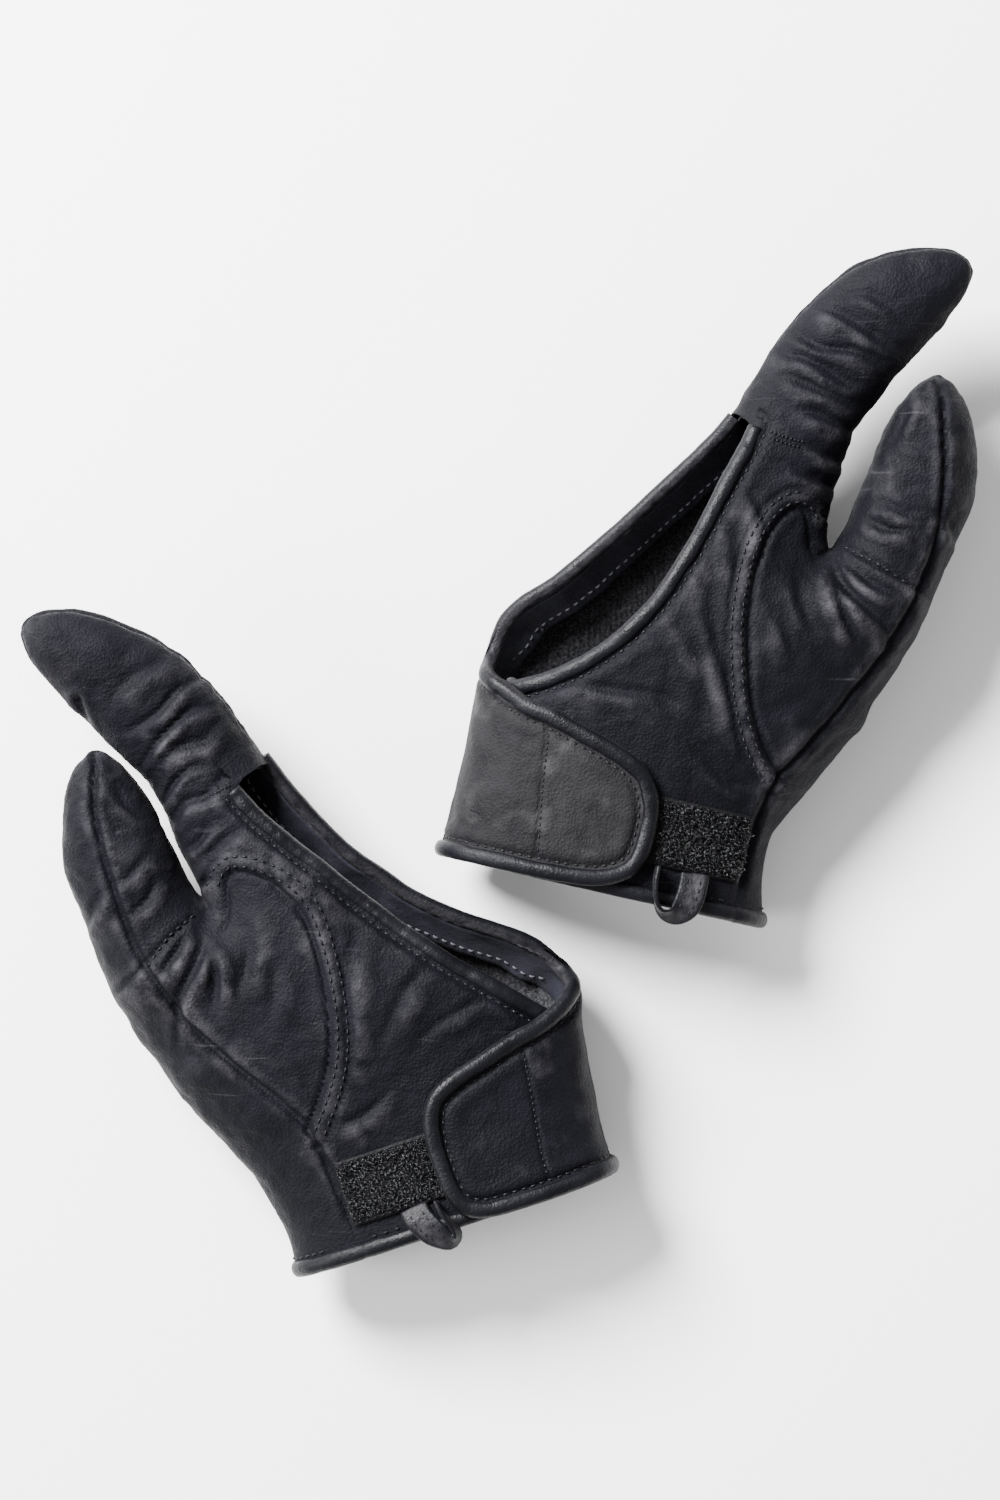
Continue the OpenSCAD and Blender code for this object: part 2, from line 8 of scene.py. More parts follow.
import bpy
import numpy as np
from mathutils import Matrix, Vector


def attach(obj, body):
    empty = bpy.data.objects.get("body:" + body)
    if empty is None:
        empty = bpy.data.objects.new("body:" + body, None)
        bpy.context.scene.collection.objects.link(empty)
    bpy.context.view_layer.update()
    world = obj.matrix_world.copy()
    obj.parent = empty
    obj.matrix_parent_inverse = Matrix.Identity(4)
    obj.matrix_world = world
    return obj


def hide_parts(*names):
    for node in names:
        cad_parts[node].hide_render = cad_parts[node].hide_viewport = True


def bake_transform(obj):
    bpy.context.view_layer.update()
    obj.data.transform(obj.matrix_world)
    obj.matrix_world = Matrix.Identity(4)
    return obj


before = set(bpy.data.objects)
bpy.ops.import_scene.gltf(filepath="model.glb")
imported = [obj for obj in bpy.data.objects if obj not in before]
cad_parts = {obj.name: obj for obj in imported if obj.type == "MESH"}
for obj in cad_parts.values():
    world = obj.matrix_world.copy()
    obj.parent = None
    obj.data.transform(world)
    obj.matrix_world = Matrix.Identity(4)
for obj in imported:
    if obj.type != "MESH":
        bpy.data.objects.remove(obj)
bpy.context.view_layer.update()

# ---- Driving sizes, in millimetres -------------------------------------------------------------------
CELL = 1.2  # spacing of the leather's mesh
SQUARENESS = 2.25  # exponent of a section's outline: 2 is an ellipse
LEATHER = 1.2
LINING = 0.5
LINING_DEPTH = 2.2  # from the outer face of the leather to the face of the lining
TAB_TOP = 3.9  # outer face of the wrist tab above the palm leather
STITCH = 2.9  # from one stitch to the next
EDGE_ROW = 4.8  # from a bound edge to its row of stitches
BEYOND_ROW = 7.6  # from a bound edge to the swelling beyond its stitches
BAND_START = 183  # degrees round the wrist where the band leaves the back
EDGE_SPAN = (72.6, 37.5)  # numbers of the sections between which the back's edge meets the opening
FACING = 0.9  # thickness of the strip inside the back's edge, which is FACING_ROWS mm wide
FACING_ROWS = 18
TAPE = 1.0
PILE_WIRE = 0.115  # half the thickness of one loop of the tape
HOOK_TAPE = 0.45
STRAP_HALF = 4.5  # half the width of a pull loop's strap

# A section is [x, y of its little-finger side, x, y of its thumb side, height of its centre, half height].
RIGHT_HAND = [
    [-52, 0, 51, 0, 22, 22.4], [-51, 12, 48.5, 12, 22, 23], [-50.5, 28, 48.5, 28, 22, 23],
    [-51, 45, 55, 43, 22.5, 24], [-51.5, 60, 63, 58, 23.5, 25], [-47, 77, 69.5, 75, 24.5, 25.5],
    [-35, 90, 73, 89, 25.5, 25], [-26.5, 101, 65, 100, 26, 24], [-19, 111, 50.5, 110, 27, 22.5],
    [-11.5, 122, 44, 121, 28.5, 20.5], [-0.5, 138, 43, 137, 31, 17.5], [6.5, 150, 44, 147, 32.5, 15],
    [10, 161, 45, 155, 34, 13.5], [14.5, 174, 49.5, 165.5, 35.5, 13], [24, 192, 55.5, 178, 38, 12.5],
    [35, 205, 63, 190.5, 40, 11.5], [49, 213, 68, 201, 41.5, 9.5], [60, 215, 69.2, 209, 42.5, 5.5],
    [64, 214.5, 68.5, 211.5, 42.5, 3],
]
RIGHT_THUMB = [
    [36, 84, 64, 78, 24, 13], [34.5, 98, 76.5, 94, 26.5, 21.5], [40, 108, 79.5, 107, 28, 20.5],
    [47, 121, 82, 122.5, 30, 17.5], [51, 139, 85.5, 141, 32.5, 15.5], [53, 153, 83.5, 155, 34, 14],
    [56, 165, 79, 166.5, 35.5, 11.5], [61, 173, 72.5, 174, 36.5, 7], [64.5, 176, 68.5, 176, 36.5, 3],
]
LEFT_HAND = [
    [-52.5, 0, 51.5, 0, 22, 22.4], [-52, 12, 50.5, 12, 22, 23], [-54, 28, 53, 28, 22, 23],
    [-56.5, 45, 59, 43, 22.5, 24], [-59.5, 61, 66, 58, 23.5, 25], [-50, 75, 71.5, 74, 24.5, 25.5],
    [-32, 89, 74, 88, 25.5, 25], [-20, 100, 64, 99, 26, 24], [-12.5, 110, 49, 108, 27, 22.5],
    [-4.5, 121, 42, 119, 28.5, 20.5], [4, 139, 44, 137, 31, 17.5], [9.5, 154, 44.8, 149, 32.5, 15],
    [13, 165, 46, 157.5, 34, 13.5], [17, 177, 50, 167, 35.5, 13], [25, 193, 56.8, 180, 38, 12.5],
    [36, 206, 63, 193, 40, 11.5], [49, 215.5, 67.5, 204.5, 41.5, 9.5], [60, 218.8, 68.3, 213, 42.5, 5.5],
    [64, 218.5, 67.5, 215.5, 42.5, 3],
]
LEFT_THUMB = [
    [31, 84, 64, 78, 24, 13], [28, 98, 76.5, 94, 26.5, 21.5], [34, 107, 78.5, 106, 28, 20.5],
    [43, 121, 79, 122, 31, 17.5], [45.8, 139, 79.5, 140, 34.5, 15.5], [47.4, 152, 76.5, 152, 37, 13.5],
    [50.8, 163, 72, 163, 39, 11], [54.4, 170, 66.8, 170, 40, 6.5], [57.2, 172.7, 62.8, 172.5, 40.5, 3],
]
# One glove's outlines and places. A bend is the two points between which a piece would bend onto a moving
# body; a piece with a bend is left fixed in place.
RIGHT = {
    "hand": RIGHT_HAND, "thumb": RIGHT_THUMB, "turn": -12.7, "at": (31.2, -38.1), "mirror": 1,
    "palm_edge": [[-38, 57], [-30, 61.5], [-20, 69.5], [-11, 80], [-4, 92], [1, 105], [5, 118], [8, 130],
                  [11, 140], [13, 149]],
    "side_seam": [[41, -12], [41.5, 20], [42.5, 35], [45, 46], [50, 54], [58, 68], [65, 83], [70, 95],
                  [74, 111], [76, 125], [75.5, 138], [73, 152], [69, 167], [66.5, 178], [66, 190]],
    "ball_seam": [[45, 46], [38, 54], [32, 65], [28, 77], [25, 90], [24, 104], [25, 115], [28, 123],
                  [32.5, 127.5], [36, 126], [38.5, 120], [41, 115], [46, 112]],
    "cross": [[44, 121], [80, 109]],
    "tab": [[-22, 0.5], [-12, 1], [-3, 2], [4, 4.5], [9, 8.5], [11, 15], [11.2, 24], [10, 31], [6, 37.5],
            [0, 41.5], [-9, 44.5], [-19, 47], [-29, 50]],
    "tape": [-18, 40, 11, 32], "tab_end": 8, "tab_look": "tab_leather", "hidden_edge": -36, "band_height": 60,
    "between": [[46, 100], [46, 112], [48, 130], [49, 152], [53, 168], [60, 180], [90, 200]],
    "tab_seam": [[-22, 2], [-29, 51]], "cross_row": [[49, 119], [60, 116], [73, 111]],
    "tack": [[[19, 148.2], [25, 147.5], [30, 147.4]], [[20, 146.3], [25, 145.7], [29, 145.6]]],
    "loop_right": 31,
    "pull_loop": [[26.6, 11.1, -0.3], [26.7, 7.5, 1.0], [26.5, 3, 1.9], [25.4, -0.6, 1.5], [22.6, -3, 0.7],
                  [19, -2.6, 0.7], [16.4, 0.8, 1.9], [15, 6.2, 2.4], [14.8, 10.8, 1.8]],
    "bends": {
        "index": ([11.5, 137.6, 32.5], [13.3, 159.5, 32.5]), "thumb": ([91.1, 65.2, 29], [106.5, 76.2, 29]),
        "tab": ([-30.4, 24.5, 47], [-20.6, 25.9, 47]), "pull_loop": ([22.8, 10.7, 45.2], [22.8, 6.3, 45.2]),
    },
}
LEFT = {
    "hand": LEFT_HAND, "thumb": LEFT_THUMB, "turn": 18.5, "at": (-14.4, -141.3), "mirror": -1,
    "palm_edge": [[-46, 55], [-40, 62], [-32, 71], [-23, 81.5], [-14, 93], [-5, 106], [3, 118], [10, 129],
                  [16, 139], [20.5, 149]],
    "side_seam": [[28, -12], [30, 15], [31, 30], [33, 42], [38, 52], [48, 68], [55, 80], [61, 95], [65, 110],
                  [66, 125], [65.5, 140], [64, 155], [61.5, 163], [59, 173], [58, 190]],
    "ball_seam": [[33, 42], [25, 52], [19, 62], [15, 75], [13, 90], [13, 104], [16, 113], [22, 120],
                  [29, 124.5], [33, 122], [35, 116], [38, 110], [44, 108]],
    "cross": [[40, 118.5], [78, 99]],
    "tab": [[-33, -0.5], [-22, -0.2], [-12, 0.5], [-5.5, 3], [-2, 8], [-1, 16], [-1, 26], [-2.5, 34],
            [-6, 40], [-13, 43.5], [-23, 46], [-31, 48], [-40, 50]],
    "tape": [-29, 29, 9.5, 30], "tab_end": -4, "tab_look": "leather", "hidden_edge": -44, "band_height": 61,
    "between": [[44, 96], [44, 108], [44, 130], [45.5, 152], [51, 165], [60, 176], [90, 200]],
    "tab_seam": [[-33, 1], [-40, 50]], "cross_row": [[45, 116], [55, 112], [64, 105]],
    "tack": [[[22, 150.2], [27, 149.2], [32, 148.4]]], "loop_right": 15,
    "pull_loop": [[10, 9.6, -0.3], [9.4, 5.8, 1.2], [7.4, 1.4, 1.9], [4.6, -2.2, 1.4], [1.8, -4.2, 0.8],
                  [-0.2, -2.6, 1.1], [0.6, 1.4, 2.4], [2.2, 5.4, 2.7], [2.8, 9.3, 1.9]],
    "bends": {
        "index": ([22.1, 139.3, 32.5], [25.6, 161, 32.5]), "thumb": ([87.8, 62.9, 29], [102.4, 73.3, 29]),
        "tab": ([-41.4, 24, 45], [-31.6, 25.4, 45]), "pull_loop": ([7.9, 9.3, 46.2], [7.9, 5.3, 46.2]),
    },
}
# The height, for each y, at which the palm's leather and the back's leather meet.
PARTING = [[-20, 22], [60, 23.5], [100, 26.5], [120, 29], [140, 32], [157, 34.5], [176, 37], [198, 41.5],
           [210, 44.5], [217, 45.5], [240, 48]]


# ---- Lines in the plane ------------------------------------------------------------------------------
def ease(t):
    t = np.clip(t, 0, 1)
    return t * t * (3 - 2 * t)


def unit(vectors, least=1e-9):
    """The vectors with length 1."""
    return vectors / np.maximum(np.linalg.norm(vectors, axis=-1, keepdims=True), least)


def bell(distance, width):
    """1 at distance 0, falling to nearly 0 at twice the width."""
    return np.exp(-((distance / width) ** 2))


def signed_power(v, n):
    return np.sign(v) * np.abs(v) ** n


def curve_through(p, n):
    """A Catmull-Rom curve through the points, without the first and the last, with n points in each span."""
    t = np.linspace(0, 1, n, endpoint=False)[:, None]
    out = []
    for a, b, c, d in zip(p, p[1:], p[2:], p[3:]):
        square, cube = 2 * a - 5 * b + 4 * c - d, 3 * b - a - 3 * c + d
        out.append(0.5 * (2 * b + (c - a) * t + square * t**2 + cube * t**3))
    return np.vstack(out + [p[-2][None]])


def smooth_line(points, step):
    """A curve through the points, with points about step apart."""
    p = np.array(points, float)
    return spaced(curve_through(np.vstack([2 * p[0] - p[1], p, 2 * p[-1] - p[-2]]), 12), step)


def length_along(line):
    """How far along the line each of its points is."""
    return np.concatenate([[0], np.cumsum(np.linalg.norm(np.diff(line, axis=0), axis=1))])


def spaced(line, step):
    """The same line with evenly spaced points."""
    length = length_along(line)
    n = max(2, int(round(length[-1] / step)) + 1)
    at = np.linspace(0, length[-1], n)
    return np.stack([np.interp(at, length, line[:, k]) for k in range(line.shape[1])], 1)


def offset_line(line, by):
    """The line in the plane moved to its left."""
    along = unit(np.gradient(line, axis=0))
    return line + by * np.column_stack([-along[:, 1], along[:, 0]])


def line_distance(points, line):
    """Signed distance from points to a line in the plane (+ to its left), and how far along it, 0 to 1."""
    a, b = line[:-1], line[1:]
    d = b - a
    rel = points[:, None, :2] - a[None]
    t = np.clip((rel * d).sum(2) / (d * d).sum(1), 0, 1)
    gap = rel - t[..., None] * d
    distance = np.linalg.norm(gap, axis=2)
    k = distance.argmin(1)
    i = np.arange(len(points))
    side = d[k, 0] * rel[i, k, 1] - d[k, 1] * rel[i, k, 0]
    return np.where(side >= 0, 1, -1) * distance[i, k], (k + t[i, k]) / len(a)


def inside_distance(points, outline):
    """Distance inside a closed outline; negative outside it."""
    closed = np.vstack([outline, outline[:1]])
    distance = np.abs(line_distance(points, closed)[0])
    a, b = closed[:-1], closed[1:]
    x, y = points[:, 0:1], points[:, 1:2]
    crosses = (a[:, 1] > y) != (b[:, 1] > y)
    with np.errstate(divide="ignore", invalid="ignore"):
        at = a[:, 0] + (y - a[:, 1]) * (b[:, 0] - a[:, 0]) / (b[:, 1] - a[:, 1])
    inside = (crosses & (x < at)).sum(1) % 2 == 1
    return np.where(inside, distance, -distance)


def smooth_noise(points, scale, seed, octaves=3):
    """Repeatable soft noise between about -1 and 1, as a sum of waves in random directions."""
    rng = np.random.default_rng(seed)
    total = np.zeros(len(points))
    for octave in range(octaves):
        waves = unit(rng.normal(size=(10, 3)))
        size = scale / 1.9**octave * rng.uniform(0.7, 1.4, 10)
        phase = rng.uniform(0, 2 * math.pi, 10)
        angle = points @ (waves / size[:, None]).T * 2 * math.pi + phase
        total += np.sin(angle).sum(1) / 5 / 1.8**octave
    return total


# ---- The body of a glove as a distance field ---------------------------------------------------------
class Body:
    """A tube through sections, each a squared ellipse that stands on the line between its two sides."""

    def __init__(self, rows):
        # one more section before the hem, and one a little past the tip, which nearly closes it
        rows = np.array(rows, float)
        first, last = rows[0].copy(), rows[-1].copy()
        first[[1, 3]] -= 9
        forward = (rows[-1, :4] - rows[-2, :4]) * 0.35
        centre = np.tile((last[:2] + last[2:4]) / 2, 2)
        last[:4] = centre + np.tile((forward[:2] + forward[2:]) / 2, 2) + (last[:4] - centre) * 0.25
        last[5] *= 0.3
        rows = np.vstack([first, rows, last])
        smooth = curve_through(np.vstack([2 * rows[0] - rows[1], rows, rows[-1]]), 6)
        smooth[:, 5] = np.maximum(smooth[:, 5], 0.4)
        self.little, self.radial = smooth[:, :2], smooth[:, 2:4]
        across = self.radial - self.little
        self.half = np.linalg.norm(across, axis=1) / 2
        self.e = across / (2 * self.half[:, None])
        self.centre = (self.little + self.radial) / 2
        self.z, self.b = smooth[:, 4], smooth[:, 5]

    def ahead(self, points):
        """How far each point is past the line of each section."""
        rel = points[:, None, :2] - self.little[None]
        return self.e[:, 0] * rel[..., 1] - self.e[:, 1] * rel[..., 0]

    def lookup(self, points):
        """Each point's section number, and how far it is past the last section and before the first."""
        g = self.ahead(points)
        behind = g[:, 1:] < 0
        k = np.where(behind.any(1), behind.argmax(1), len(self.z) - 2)
        i = np.arange(len(points))
        t = np.clip(g[i, k] / np.maximum(g[i, k] - g[i, k + 1], 1e-6), 0, 1)
        return k + t, np.maximum(g[:, -1], 0), np.maximum(-g[:, 0], 0)

    def at(self, s):
        """The section with number s: its centre, direction across, half width, height and half height."""
        k = np.clip(s.astype(int), 0, len(self.z) - 2)
        t = s - k
        size = lambda v: v[k] * (1 - t) + v[k + 1] * t
        plan = lambda v: v[k] * (1 - t)[:, None] + v[k + 1] * t[:, None]
        return plan(self.centre), plan(self.e), size(self.half), size(self.z), size(self.b)

    def distance(self, points, found=None):
        """Nearly the distance to the body's surface, negative inside."""
        s, past, before = found or self.lookup(points)
        centre, e, half, z, b = self.at(s)
        n = SQUARENESS
        u = np.abs(((points[:, :2] - centre) * e).sum(1) / half)
        w = np.abs((points[:, 2] - z) / b)
        q = np.maximum((u**n + w**n) ** (1 / n), 1e-3)
        slope = np.sqrt((u ** (n - 1) / half) ** 2 + (w ** (n - 1) / b) ** 2) * q ** (1 - n)
        d = (q - 1) / np.maximum(slope, 1 / np.maximum(half, b))
        outside = np.maximum(past, before)
        return np.where(outside > 0, np.maximum(d, outside), d)

    def at_height(self, y):
        return self.at(self.lookup(np.stack([np.zeros_like(y), y], 1))[0])

    def ring_point(self, y, degrees):
        """Points round the body at heights y, at angles from the thumb side over the palm."""
        centre, e, half, z, b = self.at_height(y)
        c = signed_power(np.cos(np.radians(degrees)), 2 / SQUARENESS)
        h = signed_power(np.sin(np.radians(degrees)), 2 / SQUARENESS)
        return np.column_stack([centre + e * (half * c)[:, None], z + b * h])

    def angle_at(self, x, y, out=0.0):
        """The angle of the palm side's surface over x at height y."""
        centre, _, half, _, _ = self.at_height(y)
        u = np.clip((x - centre[:, 0]) / (half + out), -1, 1)
        return np.degrees(np.arccos(signed_power(u, SQUARENESS / 2)))


def soft_min(a, b, k):
    """The smaller of the two, blended where they differ by less than k."""
    h = np.clip(0.5 + 0.5 * (b - a) / k, 0, 1)
    return b * (1 - h) + a * h - k * h * (1 - h)


# ---- Meshes as arrays --------------------------------------------------------------------------------
def surface_net(values, origin, cell):
    """Triangles of the zero level of a grid of distances, with one point in each cell that it crosses."""
    inside = values < 0
    corners = [(i, j, k) for i in (0, 1) for j in (0, 1) for k in (0, 1)]
    shape = np.array(values.shape) - 1
    cut = lambda c: tuple(slice(o, o + n) for o, n in zip(c, shape))
    count = sum(inside[cut(c)].astype(np.int8) for c in corners)
    mixed = (count > 0) & (count < 8)
    total = np.zeros((*shape, 3))
    number = np.zeros(shape)
    for c in corners:
        for axis in range(3):
            if c[axis]:
                continue
            other = list(c)
            other[axis] = 1
            a, b = values[cut(c)], values[cut(other)]
            crosses = (a < 0) != (b < 0)
            t = np.where(crosses, a / np.where(crosses, a - b, 1), 0)
            for k in range(3):
                total[..., k] += np.where(crosses, c[k] + (t if k == axis else 0), 0)
            number += crosses
    index = -np.ones(shape, int)
    index[mixed] = np.arange(mixed.sum())
    place = np.argwhere(mixed)
    points = origin + cell * (place + total[mixed] / number[mixed][:, None])
    quads = []
    for axis in range(3):
        u, v = (axis + 1) % 3, (axis + 2) % 3
        low = [slice(None)] * 3
        high = [slice(None)] * 3
        low[axis], high[axis] = slice(0, -1), slice(1, None)
        a, b = inside[tuple(low)], inside[tuple(high)]
        for flip, mask in ((False, a & ~b), (True, ~a & b)):
            at = np.argwhere(mask)
            keep = (at[:, u] > 0) & (at[:, v] > 0) & (at[:, u] < shape[u]) & (at[:, v] < shape[v])
            at = at[keep]
            ring = []
            for du, dv in ((1, 1), (0, 1), (0, 0), (1, 0)):
                cell_at = at.copy()
                cell_at[:, u] -= du
                cell_at[:, v] -= dv
                ring.append(index[tuple(cell_at.T)])
            quad = np.stack(ring, 1)
            quads.append(quad[:, ::-1] if flip else quad)
    quads = np.vstack(quads)
    return points, np.vstack([quads[:, [0, 1, 2]], quads[:, [0, 2, 3]]])


def grid_faces(rows, columns):
    """Triangles of a grid of points that are numbered row by row."""
    i, j = np.meshgrid(np.arange(rows - 1), np.arange(columns - 1), indexing="ij")
    a = (i * columns + j).ravel()
    b = a + columns
    return np.vstack([np.column_stack([a, b, b + 1]), np.column_stack([a, b + 1, a + 1])])


def grid(us, vs):
    """The points of a grid in the plane, and its triangles."""
    return np.stack(np.meshgrid(us, vs, indexing="ij"), -1).reshape(-1, 2), grid_faces(len(us), len(vs))


def point_normals(points, faces):
    """Normals at the points, from the triangles that meet there."""
    normals = np.zeros_like(points)
    a, b, c = [points[faces[:, k]] for k in range(3)]
    for k in range(3):
        np.add.at(normals, faces[:, k], np.cross(b - a, c - a))
    return unit(normals, 1e-12)


def compact(points, faces):
    """The same triangles without the points that none of them has."""
    used = np.unique(faces)
    new = -np.ones(len(points), int)
    new[used] = np.arange(len(used))
    return points[used], new[faces]


def edges_of(faces):
    return np.vstack([faces[:, [0, 1]], faces[:, [1, 2]], faces[:, [2, 0]]])


def split(points, faces, field):
    """Cut the triangles along field = 0. Returns the new points and faces, and each face's side."""
    points = points.copy()
    value = field(points)
    edges = np.unique(np.sort(edges_of(faces), 1), axis=0)
    a, b = value[edges[:, 0]], value[edges[:, 1]]
    crossing = a * b < 0
    e, a, b = edges[crossing], a[crossing], b[crossing]
    t = a / (a - b)
    for k, near in ((0, t < 0.25), (1, t > 0.75)):
        move = e[near, k]
        points[move] = points[e[near, 0]] * (1 - t[near, None]) + points[e[near, 1]] * t[near, None]
        value[move] = 0
    a, b = value[edges[:, 0]], value[edges[:, 1]]
    crossing = a * b < 0
    e = edges[crossing]
    t = (a / np.where(a == b, 1, a - b))[crossing][:, None]
    fresh = points[e[:, 0]] * (1 - t) + points[e[:, 1]] * t
    lookup = {(int(i), int(j)): len(points) + n for n, (i, j) in enumerate(e)}
    points = np.vstack([points, fresh])
    value = np.concatenate([value, np.zeros(len(fresh))])
    sign = np.sign(value)
    mixed = (sign[faces].max(1) > 0) & (sign[faces].min(1) < 0)
    out = [faces[~mixed]]
    added = []
    for tri in faces[mixed]:
        loop = []
        for i, j in zip(tri, np.roll(tri, -1)):
            loop.append(int(i))
            mid = lookup.get((min(int(i), int(j)), max(int(i), int(j))))
            if mid is not None:
                loop.append(mid)
        start = next(n for n, v in enumerate(loop) if sign[v] == 0)
        loop = loop[start:] + loop[:start]
        end = next(n for n in range(2, len(loop)) if sign[loop[n]] == 0)
        for part in (loop[: end + 1], loop[end:] + loop[:1]):
            added += [[part[0], part[n], part[n + 1]] for n in range(1, len(part) - 1)]
    if added:
        out.append(np.array(added, int))
    faces = np.vstack(out)
    side = np.sign(np.where(np.abs(sign[faces]).max(1) > 0, sign[faces].sum(1), 1))
    return points, faces, side


def keep(points, faces, field):
    """The part of the mesh where the field is above 0."""
    points, faces, side = split(points, faces, field)
    return compact(points, faces[side > 0])


def rim(faces):
    """The edges that only one triangle has, in its direction."""
    edges = edges_of(faces)
    key = edges.min(1) * (edges.max() + 1) + edges.max(1)
    _, first, count = np.unique(key, return_index=True, return_counts=True)
    return edges[first[count == 1]]


def thicken(points, faces, normals, depth):
    """A closed sheet: the given face and one at depth beneath it."""
    n = len(points)
    a, b = rim(faces).T
    wall = np.vstack([np.column_stack([b, a, a + n]), np.column_stack([b, a + n, b + n])])
    return np.vstack([points, points - normals * depth]), np.vstack([faces, faces[:, ::-1] + n, wall])


def join(parts):
    """One mesh from several, each of them points and faces."""
    points, faces, n = [], [], 0
    for p, f in parts:
        points.append(p)
        faces.append(np.asarray(f) + n)
        n += len(p)
    return np.vstack(points), np.vstack(faces)


def tube(rings, closed_ends=True):
    """Triangles of a tube through rings of equally many points, each given as an array."""
    rings = np.asarray(rings, float)
    m, n = rings.shape[:2]
    i, k = np.meshgrid(np.arange(m - 1), np.arange(n), indexing="ij")
    a, b = i * n + k, i * n + (k + 1) % n
    a, b = a.ravel(), b.ravel()
    faces = [np.column_stack([a, b, b + n]), np.column_stack([a, b + n, a + n])]
    if closed_ends:
        fan = np.arange(1, n - 1)
        faces.append(np.column_stack([np.zeros_like(fan), fan + 1, fan]))
        faces.append(np.column_stack([np.zeros_like(fan), fan, fan + 1]) + (m - 1) * n)
    return rings.reshape(-1, 3), np.vstack(faces)


def sweep(line, normals, profile, closed_ends=True):
    """A profile of [out to the left, up] points, carried along a line on a surface."""
    along = unit(np.gradient(line, axis=0))
    left = unit(np.cross(normals, along))
    up = np.cross(along, left)
    profile = np.asarray(profile, float)
    if profile.ndim == 2:
        profile = np.broadcast_to(profile, (len(line), *profile.shape))
    rings = line[:, None] + profile[..., 0:1] * left[:, None] + profile[..., 1:2] * up[:, None]
    return tube(rings[:, ::-1], closed_ends)


